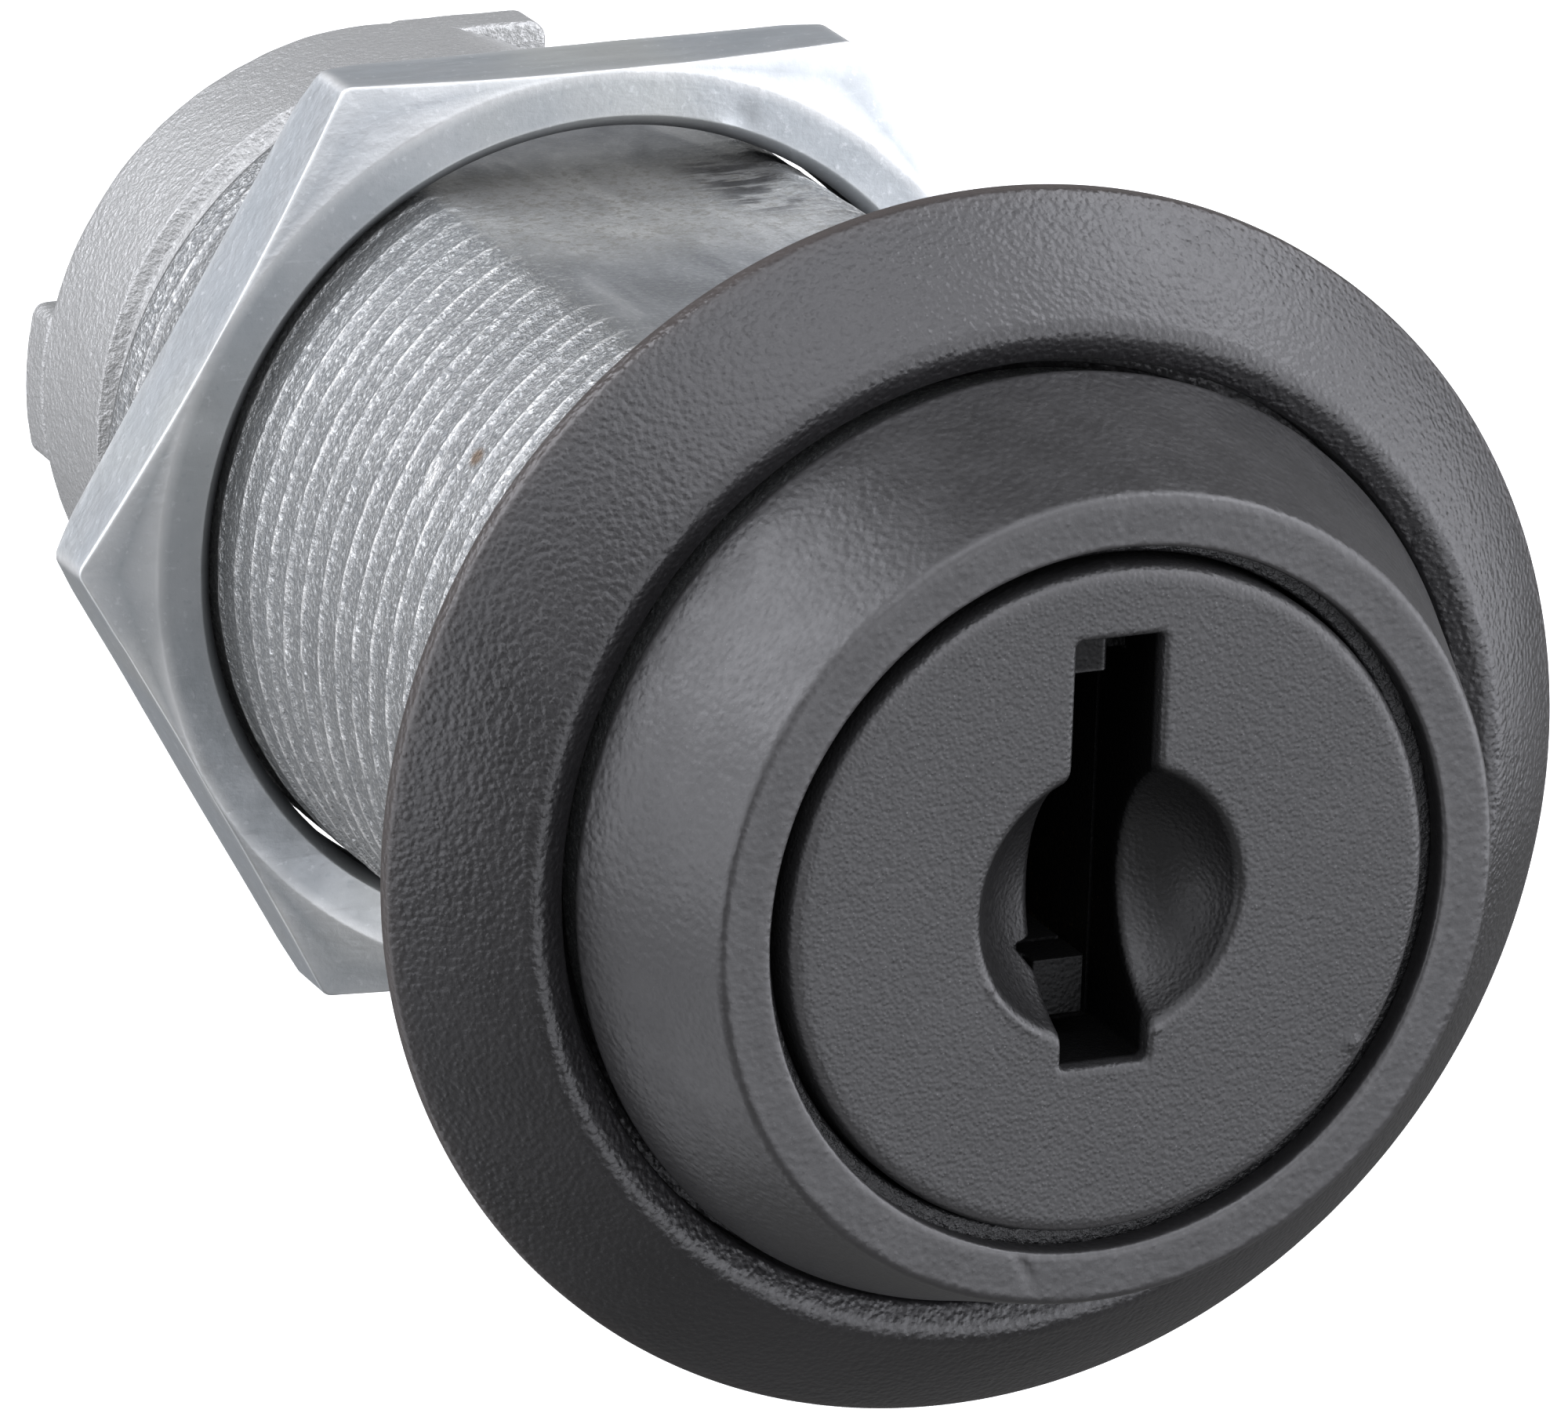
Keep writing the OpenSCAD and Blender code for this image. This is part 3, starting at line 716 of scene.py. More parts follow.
def head_collar():
    angles = np.arange(600) * TAU / 600
    inner, foot, shoulder, lip = 8.66, 10.63, 9.10, 7.95
    bottom, under_lip, top = 2.66, 6.43, 7.1
    # radius, z, rounding, arc steps, steps to the next corner
    profile = [
        (inner, bottom, 0.06, 2, 4), (foot, bottom, 0.13, 4, 14),
        (shoulder + 0.02, top, 0.30, 7, 6), (lip, top, 0.16, 5, 4),
        (lip, under_lip, 0.05, 2, 3), (inner, under_lip, 0.05, 2, 6)]
    points, normals = spun(rounded_profile(profile), angles)
    x, y, z = np.moveaxis(points, -1, 0)
    radius = np.hypot(x, y)
    visible = step(2.7, 3.0, z) * step(7.9, 8.1, radius)
    texture = (0.010 * layered_noise(x, y, z, size=2.2, octaves=2, seed=11)
               + 0.0035 * value_noise(x, y, z, size=0.3, seed=2) - 0.008)
    # a short nick across the flat ring near its lowest point, with a lump beside it
    from_x, from_y = x + 1.73, y + 8.15
    across, along = from_x * 0.88 + from_y * 0.47, -from_x * 0.47 + from_y * 0.88
    on_top = step(6.9, 7.05, z)
    nick = bell(across, 0.10, along, 0.42) * on_top
    lump = bell(across - 0.22, 0.10, along, 0.36) * on_top
    points = points + normals * (texture * visible - 0.07 * nick + 0.015 * lump)[..., None]
    points[..., 2] = np.minimum(points[..., 2], top)
    # pale lines, partly wear and partly a painted highlight: the lip's edge, the nick and the
    # shoulder's rounding
    edge = bell(radius - 8.06, 0.10) * step(6.9, 7.0, z) * 0.6 + nick * 0.8
    edge = edge + bell(radius - 9.02, 0.16) * step(6.7, 6.9, z) * 0.35
    ob = spun_object("head_collar_coated", points, {"edge": np.clip(edge, 0, 1)})
    dress(ob, COLLAR_COAT, "barrel", "head_collar")


# ------------------------------------------------------------------ mounting nut

# x, y, z, width and height of each small ding
NUT_DINGS = (
    (3.4, 9.55, NUT_FRONT, 0.30, -0.07), (-9.9, 3.7, NUT_FRONT, 0.35, -0.05),
    (-6.4, 10.1, NUT_FRONT, 0.28, -0.06), (-11.5, -1.9, NUT_FRONT, 0.30, -0.05),
    (7.6, 8.2, NUT_FRONT, 0.22, -0.05), (-9.6, -4.6, NUT_FRONT, 0.26, -0.05),
    (1.8, 10.9, -21.2, 0.35, -0.05), (-4.4, -9.5, NUT_FRONT, 0.24, -0.04))


def nut_degrees():
    """Column angles, packed closely around the six corners."""
    near = np.array([6, 4.5, 3.2, 2.2, 1.5, 1.05, 0.75, 0.5, 0.28, 0.1])
    sixth = np.concatenate([-near, near[::-1], np.linspace(6, 54, 33)[1:-1]])
    return np.sort(np.concatenate([k * 60 + sixth for k in range(6)]) % 360)


def nut_outline(off_corner):
    """Radius of the hexagon with rounded corners, by degrees from the nearest corner."""
    rounding, corner = 0.32, math.radians(30)
    turned = np.radians(np.abs(off_corner))
    flat = NUT_RADIUS / np.cos(np.radians(30 - np.abs(off_corner)))
    centre = (NUT_RADIUS - rounding) / math.cos(corner)
    arc = centre * np.cos(turned) + np.sqrt(
        np.maximum(rounding ** 2 - (centre * np.sin(turned)) ** 2, 0))
    limit = math.atan2(rounding * math.sin(corner), centre + rounding * math.cos(corner))
    return np.where(turned < limit, np.minimum(flat, arc), flat)


def mounting_nut():
    degrees = nut_degrees()
    angles = np.radians(degrees)
    off_corner = (np.degrees(angles) + 30) % 60 - 30
    outline = nut_outline(off_corner)
    sharp_corner = NUT_RADIUS / math.cos(math.radians(30))
    # the front is chamfered from face_edge out to the corners, the back only at them
    face_edge = NUT_RADIUS - 0.07
    front = NUT_FRONT - 0.5 / (sharp_corner - NUT_RADIUS) * (outline - face_edge)
    back_edge = np.minimum(outline - 0.05, sharp_corner - 0.5)
    back = NUT_BACK + np.where(outline > sharp_corner - 0.45, 0.56 * (outline - back_edge), 0.03)
    bore, mouth, mouth_depth = 9.56, 9.87, 0.32
    # radius, z, rounding, arc steps, steps to the next corner
    profile = [
        (bore, NUT_BACK + mouth_depth, 0.05, 2, 26), (bore, NUT_FRONT - mouth_depth, 0.05, 2, 3),
        (mouth, NUT_FRONT, 0.08, 4, 7), (face_edge, NUT_FRONT, 0.30, 4, 4),
        (outline, front, 0.09, 5, 9), (outline, back, 0.07, 4, 2),
        (back_edge, NUT_BACK, 0.05, 3, 7), (mouth, NUT_BACK, 0.06, 3, 3)]
    points, normals = spun(rounded_profile(profile), angles)
    x, y, z = np.moveaxis(points, -1, 0)
    radius = np.hypot(x, y)
    lift = 0.012 * layered_noise(x, y, z, size=3.0, octaves=3, seed=21) - 0.012
    for ding_x, ding_y, ding_z, width, height in NUT_DINGS:
        squares = (x - ding_x) ** 2 + (y - ding_y) ** 2 + (z - ding_z) ** 2
        lift = lift + height * np.exp(-squares / (width * width))
    in_bore = step(9.7, 9.6, radius)
    points = points + normals * (lift * (1 - in_bore))[..., None]
    # thread cut into the bore, fading out at both mouths
    groove = 0.5 - 0.5 * np.cos(TAU * (z - np.broadcast_to(angles, z.shape) / TAU))
    ends = (step(NUT_BACK + 0.34, NUT_BACK + 0.50, z)
            * step(NUT_FRONT - 0.34, NUT_FRONT - 0.50, z) * in_bore)
    points[..., :2] *= (1 + 0.24 * groove * ends / radius)[..., None]
    # pale lines, partly wear and partly a painted highlight: front and back rims of the sides,
    # face edge, six corners, bore's mouth
    at_side = step(0.25, 0.03, outline - radius)
    edge = np.clip(np.maximum.reduce([
        bell(z - front, 0.09) * at_side,
        bell(z - back, 0.08) * at_side * 0.8,
        bell(radius - face_edge, 0.16) * step(NUT_FRONT - 0.2, NUT_FRONT - 0.05, z),
        bell(off_corner, 0.7) * step(0.3, 0.05, outline - radius),
        bell(radius - mouth, 0.07) * step(NUT_FRONT - 0.15, NUT_FRONT - 0.03, z) * 0.35]), 0, 1)
    edge = edge * (0.65 + 0.35 * value_noise(x, y, z, size=1.1, seed=4))
    # the bore attribute marks the bore for a painted shade
    ob = spun_object("mounting_nut_plated", points,
                     {"edge": edge, "bore": step(9.86, 9.70, radius)})
    dress(ob, PLATE, "nut", "mounting_nut")


# ------------------------------------------------------------------ housing

def barrel_angles():
    """Column angles, closer together near the four edges of the flats."""
    edge = math.degrees(math.asin(FLAT_HEIGHT / 9.45))
    edges = [edge, 180 - edge, 180 + edge, 360 - edge]
    degrees = [0.0]
    while degrees[-1] < 360:
        nearest = min(abs((degrees[-1] - place + 180) % 360 - 180) for place in edges)
        degrees.append(degrees[-1] + (0.55 if nearest < 6 else 1.3))
    return np.radians(np.array(degrees[:-1]) * 360 / degrees[-1])


def bore_radius(sine, cosine):
    """Radius of the bore with its four channels, left, right, up and down."""
    half_width, deepest, limit = 3.15, 7.42, math.sin(math.radians(28.74))
    sides = [np.minimum(half_width / np.maximum(part, 1e-6), 9) for part in (sine, cosine)]
    channel = np.minimum(deepest, np.maximum(*sides))
    return np.where((sine < limit) | (cosine < limit), channel, 6.55)


def barrel_thread(angles, flat_radius, sine, cosine):
    """Thread rows (radius, z), with the shares of thread and of bare flat over them."""
    stations = -np.arange(1, int(-THREAD_END * 12)) / 12.0 - 0.02
    z = np.broadcast_to(stations[:, None], (len(stations), len(angles)))
    phase = z - np.broadcast_to(angles, z.shape) / TAU
    off_crest = np.abs((phase + 0.5) % 1.0 - 0.5)
    x, y = 9.3 * np.cos(angles) + 0 * z, 9.3 * np.sin(angles) + 0 * z
    worn = 0.5 + 0.5 * layered_noise(x, y, z, size=1.3, octaves=3, seed=31)
    ridge = bell(off_crest, 0.085)
    fade = step(-0.4, -1.6, z) * step(THREAD_END + 0.1, THREAD_END + 1.0, z)
    depth = 0.085 * fade
    radius = 9.49 - depth + depth * ridge * (0.72 + 0.28 * worn)
    radius = radius + fade * (
        0.010 * value_noise(x, y, z, size=0.3, seed=8)
        + 0.012 * layered_noise(x, y, z, size=1.5, octaves=2, seed=6) - 0.012)
    radius = np.minimum(radius, 9.495)
    # the flats start just behind the head; where there is none, the limit is out of reach
    cut, no_flat = step(-0.32, -0.50, z), 12
    limit = np.where(cut > 0, flat_radius * cut + no_flat * (1 - cut), no_flat)
    # the threads fade out over a short way where they run into the flats
    run = smooth_min(radius, limit, 0.22)
    from_edge = np.clip(4.52 - FLAT_HEIGHT * cosine / np.maximum(sine, 1e-6), 0, 9)
    uneven = layered_noise(x, y, z, size=1.1, octaves=2, seed=77)
    reach = 0.45 + 0.9 * np.clip(0.5 + 0.8 * uneven, 0, 1)
    taper = bell(from_edge, reach)
    in_flat = step(-0.02, 0.10, radius - limit)
    waves = 0.006 * layered_noise(x, y, z * 0.5, size=1.8, octaves=3, seed=41) - 0.004
    rows = np.stack([run + in_flat * (waves + 0.05 * ridge * taper * fade), z], 1)
    thread = fade * (1 - in_flat + in_flat * taper * 0.9)
    return rows, thread, in_flat * (1 - 0.6 * taper)


def housing():
    angles = barrel_angles()
    sine, cosine = np.abs(np.sin(angles)), np.abs(np.cos(angles))
    flat_radius = FLAT_HEIGHT / np.maximum(sine, 1e-6)
    bore = bore_radius(sine, cosine) + 0.01
    # radius, z, rounding, arc steps, steps to the next corner
    front = rounded_profile([
        (7.63, 4.22, 0.04, 2, 4), (7.63, 6.34, 0.08, 2, 2), (8.58, 6.34, 0.12, 3, 5),
        (8.58, 2.60, 0.05, 2, 3), (10.18, 2.60, 0.12, 3, 3), (10.18, 1.00, 0.12, 3, 2),
        (9.48, 1.00, 0.05, 2, 2), (9.48, -0.05, 0.0, 0, 1)], closed=False)
    front = np.broadcast_to(front, (len(front), 2, len(angles)))
    middle, thread_rows, flat_rows = barrel_thread(angles, flat_radius, sine, cosine)
    end = BARREL_END + 0.02
    back = rounded_profile([
        (np.minimum(9.2, flat_radius), THREAD_END + 0.05, 0.0, 0, 1),
        (np.minimum(9.15, flat_radius), THREAD_END - 0.28, 0.06, 2, 2),
        (8.02, THREAD_END - 0.38, 0.08, 3, 6), (8.02, -30.62, 0.10, 3, 2),
        (STOP_RADIUS, -30.86, 0.12, 4, 10), (STOP_RADIUS, end, 0.28, 5, 7),
        (BACK_BORE, end, 0.15, 3, 5), (BACK_BORE, -26.22, 0.04, 2, 2),
        (7.34, -26.2, 0.04, 2, 3), (7.34, -24.8, 0.04, 2, 2),
        (BACK_BORE, -24.78, 0.04, 2, 3), (BACK_BORE, -22.52, 0.0, 0, 1),
        (bore, -22.48, 0.0, 0, 12), (bore, 4.18, 0.0, 0, 2)], closed=False)
    points, normals = spun(np.concatenate([front, middle, back]), angles)
    thread, flat = np.zeros(points.shape[:2]), np.zeros(points.shape[:2])
    middle_rows = slice(len(front), len(front) + len(middle))
    thread[middle_rows] = thread_rows
    flat[middle_rows] = flat_rows
    x, y, z = np.moveaxis(points, -1, 0)
    radius = np.hypot(x, y)
    rear = step(-27.7, -28.2, z) * step(6.7, 7.2, radius)
    rough = 0.016 * layered_noise(x, y, z, size=0.9, octaves=3, seed=51) - 0.018
    points = points + normals * (rear * rough)[..., None]
    # a small raised nick in the thread, up on the left
    off_angle, off_z = np.degrees(np.arctan2(y, x)) - 149.7, z + 11.35
    nick = bell(off_angle * 0.164 + off_z * 0.25, 0.42, off_z, 0.12) * (radius > 9.0)
    points = points + normals * (0.06 * nick)[..., None]
    # nothing behind the head stands out beyond the thread's full radius
    full = 9.499
    shrink = full / np.maximum(np.hypot(points[..., 0], points[..., 1]), full)
    points[len(front):, :, :2] *= shrink[len(front):, :, None]
    # the raised nick is painted pale like the thread's crest line, partly wear and partly a
    # painted highlight
    ob = spun_object("barrel_casting", points, {
        "crest": np.clip(nick * 1.2, 0, 1), "thread": thread, "flat": flat,
        "coat": step(2.2, 2.6, z)})
    dress(ob, ZINC, "barrel", "housing")


def stop_lugs():
    """The two lugs on the back of the barrel, standing on its back face."""
    inner = 6.77

    def distance(x, y, z):
        radius = np.hypot(x, y)
        left = box(x, y, (-9.0, -6.78), (-1.88, 1.88))
        left = smooth_max(left, radius - STOP_RADIUS, 0.3)
        left = smooth_max(left, inner - radius, 0.1)
        upper = smooth_max(box(x, y, (1.1, 4.0), (6.7, 7.6)) - 0.48, inner - radius, 0.1)
        wobble = 0.01 * value_noise(x, y, z, size=0.8, seed=13)
        return slab(np.minimum(left, upper) + wobble, z, (-35.59, -34.35), rounding=0.14)

    ob = surface("barrel_stop_lugs", distance,
                 spaced((-8.8, -6.4, 0.1), (-6.4, 0.2, 0.6), (0.2, 4.9, 0.1)),
                 spaced((-2.2, 2.2, 0.1), (2.2, 5.8, 0.5), (5.8, 8.5, 0.1)),
                 spaced((-35.8, -34.2, 0.1)))
    dress(ob, ZINC, "barrel", "housing")


# ------------------------------------------------------------------ plug

BURR_ANGLE = -2.62              # radians, at the dimple's lower left
WARD_TOP, BLOCK_BOTTOM = -1.85, 5.05


def keyway_distance(x, y, z):
    """The key slot: full height in the face, lower in the body, with a block at its
    upper left and a ward at its lower left."""
    width = (-KEYWAY_HALF, KEYWAY_HALF)
    full = np.maximum(box(x, y, width, (KEYWAY_BOTTOM, 5.81)) - 0.14, 5.2 - z)
    block = np.maximum(box(x, y, (-2.0, -0.125), (BLOCK_BOTTOM, 7.0)), z - 6.6)
    full = smooth_max(full, -block, 0.08)
    deep = box(x, y, width, (KEYWAY_BOTTOM, 4.96)) - 0.14
    ward = np.maximum(box(x, y, (-2.0, 0.325), (-3.15, WARD_TOP)), z - 5.5)
    return np.minimum(full, smooth_max(deep, -ward, 0.10))


def plug_head_distance(x, y, z):
    radius = np.hypot(x, y)
    top = FACE_Z - 0.052 + 0.004 * layered_noise(x, y, z * 0, size=2.4, octaves=2, seed=61)
    head = smooth_max(radius - FACE_RADIUS, z - top, 0.42)
    head = smooth_max(head, 4.26 - z, 0.08)
    stem = np.maximum(np.maximum(radius - 6.5, 3.9 - z), z - 5.0)
    head = np.minimum(head, stem)
    # a small raised grain near the rim
    on_face = step(6.6, 7.0, z)
    head = head - 0.05 * np.exp(-((x - 5.93) ** 2 + (y + 3.89) ** 2) / 0.035) * on_face
    # a burr left along the dimple's lower left edge, and a grain at its lower right
    angle = np.arctan2(y, x)
    along = step(-2.65, -2.58, angle) * step(-2.00, -2.12, angle)
    burr = bell(radius - DIMPLE_RADIUS - 0.10, 0.11) * (
        along * 0.035 + bell(angle - BURR_ANGLE, 0.035) * 0.07)
    burr = burr + 0.05 * bell(radius - DIMPLE_RADIUS - 0.12, 0.10, angle + 1.20, 0.05)
    head = head - burr * on_face
    # round dimple: part of a ball
    ball_radius = (DIMPLE_RADIUS ** 2 + DIMPLE_DEPTH ** 2) / (2 * DIMPLE_DEPTH)
    ball_z = FACE_Z - DIMPLE_DEPTH + ball_radius
    ball = np.sqrt(x * x + y * y + (z - ball_z) ** 2) - ball_radius
    ball = ball + 0.012 * value_noise(x, y, z, size=0.9, seed=19) * step(0.4, -0.6, y)
    head = smooth_max(head, -ball, 0.22)
    head = smooth_max(head, -keyway_distance(x, y, z), 0.20)
    # three-cornered nick in the dimple's wall, open to the keyway
    nick = np.maximum.reduce([
        (y + 1.20) * 0.98 - (x + 1.0) * 0.17,
        -(x + 1.62) * 0.78 - (y + 1.22) * 0.62,
        x + 0.90 + 0 * y])
    nick = np.maximum(np.maximum(nick, z - 6.6), 4.7 - z)
    head = smooth_max(head, -nick, 0.05)
    return np.maximum(head, z - (FACE_Z - 0.002))


def plug_head_attributes(points, normals):
    x, y, z = points.T
    radius, angle = np.hypot(x, y), np.arctan2(y, x)
    # painted highlights, partly wear: pale rings along the face's outer edge and the dimple's
    # rim, with the burr
    outer = bell(radius - (FACE_RADIUS - 0.14), 0.10) * step(6.85, 7.0, z) * 0.7
    rim = (bell(radius - DIMPLE_RADIUS - 0.07, 0.08)
           * step(6.95, 7.1, z) * step(0.2, -1.5, y) * 0.8)
    rim = rim + bell(radius - DIMPLE_RADIUS - 0.12, 0.12, angle - BURR_ANGLE, 0.05)
    # painted shade inside the keyway, except for painted highlights along the edges of the ward
    # and the block
    in_slot = np.abs(x) < 1.07
    inner = step(6.80, 6.58, z) * in_slot * (y > -3.8) * (y < 6.1)
    ward_front, block_front = step(5.2, 5.4, z), step(6.4, 6.55, z)
    lit = bell(y + 1.87, 0.07) * ward_front * (x < 0.3)
    lit = lit + bell(x - 0.28, 0.06) * ward_front * (y < -1.9) * (y > -3.2) * 0.5
    block_edges = bell(x + 0.16, 0.05) + bell(y - 5.10, 0.05)
    lit = lit + block_edges * block_front * (y > 5.0) * (x < -0.05) * 0.5
    lit = np.clip(lit, 0, 1)
    inner = np.clip(inner * (1 - lit * 0.9), 0, 1)
    edge = outer + lit * step(7.0, 6.8, z) * in_slot
    bowl = (step(7.12, 7.0, z) * (radius < DIMPLE_RADIUS + 0.05) * (1 - inner)
            * (np.abs(normals[:, 2]) > 0.15))
    return {"edge": np.clip(edge + rim, 0, 1), "inner": inner, "bowl": bowl}


def plug_head():
    fine, coarse = ((0.06, 0.11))
    xs = spaced((-7.75, -3.4, coarse), (-3.4, 3.4, fine), (3.4, 7.75, coarse))
    ys = spaced((-7.75, -4.0, coarse), (-4.0, 6.3, fine), (6.3, 7.75, coarse))
    zs = spaced((3.7, 5.0, 0.2), (5.0, 7.35, fine))
    ob = surface("plug_face_coated", plug_head_distance, xs, ys, zs,
                 attributes=plug_head_attributes)
    dress(ob, FACE_COAT, "plug", "plug")


def plug_body():
    """The plug's slotted body: the CAD plug with its head taken off."""
    work = bmesh.new()
    work.from_mesh(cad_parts["plug"].data)
    bmesh.ops.remove_doubles(work, verts=work.verts, dist=2e-6)
    mesh = bpy.data.meshes.new("plug_body")
    work.to_mesh(mesh)
    work.free()
    ob = link_object("plug_body", mesh)

    # a 20 mm cube whose back face lies 3.9 mm in front of the frame's origin
    cube = bpy.data.meshes.new("cutter")
    work = bmesh.new()
    bmesh.ops.create_cube(work, size=0.02)
    work.to_mesh(cube)
    work.free()
    cutter = link_object("cutter", cube)
    cutter.location = (0, -0.0139, 0)
    cut = ob.modifiers.new("cut", "BOOLEAN")
    cut.operation = "DIFFERENCE"
    cut.solver = "EXACT"
    cut.object = cutter
    bpy.context.view_layer.update()
    depsgraph = bpy.context.evaluated_depsgraph_get()
    mesh = bpy.data.meshes.new_from_object(ob.evaluated_get(depsgraph))
    ob.modifiers.clear()
    ob.data = mesh
    bpy.data.objects.remove(cutter)

    # shading afresh: smooth, with sharp edges from 28 degrees up
    for name in ("custom_normal", "sharp_face"):
        if name in mesh.attributes:
            mesh.attributes.remove(mesh.attributes[name])
    mesh.polygons.foreach_set("use_smooth", np.ones(len(mesh.polygons), bool))
    work = bmesh.new()
    work.from_mesh(mesh)
    for edge in work.edges:
        edge.smooth = len(edge.link_faces) == 2 and edge.calc_face_angle(0) < math.radians(28)
    work.to_mesh(mesh)
    work.free()
    # painted shade over the whole body, as inside the keyway
    inner = mesh.attributes.new("inner", "FLOAT", "POINT")
    inner.data.foreach_set("value", np.full(len(mesh.vertices), 0.8, np.float32))
    dress(ob, FACE_COAT, "plug", "plug")


# ------------------------------------------------------------------ wafers and springs

def wafer_blank(x, y, centre_y=0):
    """Round plate cut off on the left and right."""
    return smooth_max(np.hypot(x, y - centre_y) - 6.39, np.abs(x) - 2.99, 0.15)


def spring_arm(x, y):
    """The arm on a wafer's right that its spring stands on."""
    return box(x, y, (2.6, 4.39), (0.31, 1.09)) - 0.1


def wafer(number, cut):
    centre = WAFER_FRONT - WAFER_PITCH * (number - 1)
    lift = cut * CUT_STEP

    def distance(x, y, z):
        plate = np.minimum(wafer_blank(x, y), spring_arm(x, y))
        window = box(x, y, (-1.0, 1.0), (-3.6 + lift, 3.5 + lift)) - 0.15
        plate = smooth_max(plate, -window, 0.08)
        return slab(plate, z, (centre - 0.445, centre + 0.445), rounding=0.08)

    node = "wafer_%d" % number
    ob = surface(node + "_brass", distance, spaced((-3.2, 4.6, 0.13)),
                 spaced((-6.6, 6.6, 0.13)), spaced((centre - 0.6, centre + 0.6, 0.12)))
    dress(ob, BRASS, node, node)


def retaining_wafer():
    def distance(x, y, z):
        plate = smooth_max(wafer_blank(x, y, centre_y=-0.8), y - 4.59, 0.15)
        plate = np.minimum(plate, spring_arm(x, y))
        return slab(plate, z, (RETAINER_Z - 0.59, RETAINER_Z + 0.59), rounding=0.1)

    ob = surface("retaining_wafer_brass", distance, spaced((-3.2, 4.6, 0.14)),
                 spaced((-7.5, 4.9, 0.14)), spaced((-26.3, -24.7, 0.13)))
    dress(ob, BRASS, "retainer", "retaining_wafer")


def spring(node, z, turns):
    """A wire coil with closed ends, up the side of its wafer."""
    bottom, top, centre_x = 1.34, 3.96, 3.9
    coil_radius, wire_radius = 0.48, 0.108
    sides, steps_per_turn = 12, 28
    closed, closed_rise = 0.16, 0.45    # share of the wire at each end, and its slope
    steps = int(turns * steps_per_turn)
    t = np.arange(steps + 1) / steps
    low, high = closed_rise * closed, 1 - closed_rise * closed
    rise = np.where(t < closed, closed_rise * t, np.where(
        t > 1 - closed, 1 - closed_rise * (1 - t),
        low + (high - low) * (t - closed) / (1 - 2 * closed)))
    turned = (t * turns * TAU)[:, None]
    around = np.arange(sides) * TAU / sides
    reach = coil_radius + wire_radius * np.cos(around)[None]
    height = (bottom + (top - bottom) * rise)[:, None]
    points = np.stack([centre_x + reach * np.cos(turned),
                       height + wire_radius * np.sin(around)[None],
                       z + reach * np.sin(turned)], -1)
    i, j = np.meshgrid(np.arange(steps), np.arange(sides), indexing="ij")
    after = (j + 1) % sides
    tube = np.stack([i * sides + j, (i + 1) * sides + j,
                     (i + 1) * sides + after, i * sides + after], -1).reshape(-1, 4)
    caps = []
    for base in (0, steps * sides):
        for k in range(sides // 2 - 1):
            cap = [base + k, base + k + 1, base + sides - 2 - k, base + sides - 1 - k]
            caps.append(cap if base else cap[::-1])
    ob = make_object(node + "_coil", points.reshape(-1, 3),
                     np.concatenate([tube, np.array(caps)]))
    dress(ob, SPRING, "plug", node)


# ------------------------------------------------------------------ back end

def edge_wear_and_highlight(strength):
    """Attributes that mark where a plate's surface turns from face to side, for pale edges that
    are partly wear and partly a painted highlight.
    """
    def attributes(points, normals):
        squareness = np.maximum(np.abs(normals[:, 2]), np.hypot(normals[:, 0], normals[:, 1]))
        return {"edge": step(0.99, 0.86, squareness) * strength}
    return attributes


def plated_piece(node, distance, xs, ys, zs, edge_strength):
    ob = surface(node + "_plated", distance, xs, ys, zs, attributes=edge_wear_and_highlight(edge_strength))
    dress(ob, BACK_PLATE, "plug", node)


def stop_washer():
    front, outer = STOP_WASHER_FRONT, 8.29
    back = front - STOP_WASHER_THICKNESS

    def distance(x, y, z):
        # a hub, a wing on the right and a wider one below it
        radius = np.hypot(x, y)
        plate = smooth_min(radius - HUB_RADIUS, smooth_max(radius - outer, 4.57 - x, 0.25), 0.25)
        lower = smooth_max(smooth_max(radius - outer, 1.97 - x, 0.25), y + 0.01, 0.25)
        plate = smooth_min(plate, lower, 0.25)
        plate = smooth_max(plate, -square_hole(x, y), 0.12)
        return slab(plate, z, (back, front), rounding=0.13)

    plated_piece("stop_washer", distance, spaced((-6.6, 8.6, 0.14)), spaced((-8.6, 8.6, 0.14)),
                 spaced((front - 1.05, front + 0.15, 0.11)), edge_strength=0.8)


def cam():
    """A plate around the screw with a round-ended arm, down and to the right."""
    def distance(x, y, z):
        along, across = (x - y) * DIAGONAL, (x + y) * DIAGONAL
        arm = np.hypot(along - np.clip(along, 0, CAM_REACH), across) - CAM_HALF_WIDTH
        plate = smooth_min(np.hypot(x, y) - HUB_RADIUS, arm, 0.4)
        plate = smooth_max(plate, -square_hole(x, y), 0.12)
        # the back edges are rolled over a little more than the front ones
        roll = 0.30 - 0.18 * step(CAM_BACK + 0.4, CAM_FRONT - 0.4, z)
        return slab(plate, z, (CAM_BACK, CAM_FRONT), rounding=roll)

    spacing = 0.19
    plated_piece("cam", distance, spaced((-6.6, 23.4, spacing)), spaced((-23.4, 6.6, spacing)),
                 spaced((CAM_BACK - 0.15, CAM_FRONT + 0.15, 0.16)), edge_strength=0.9)


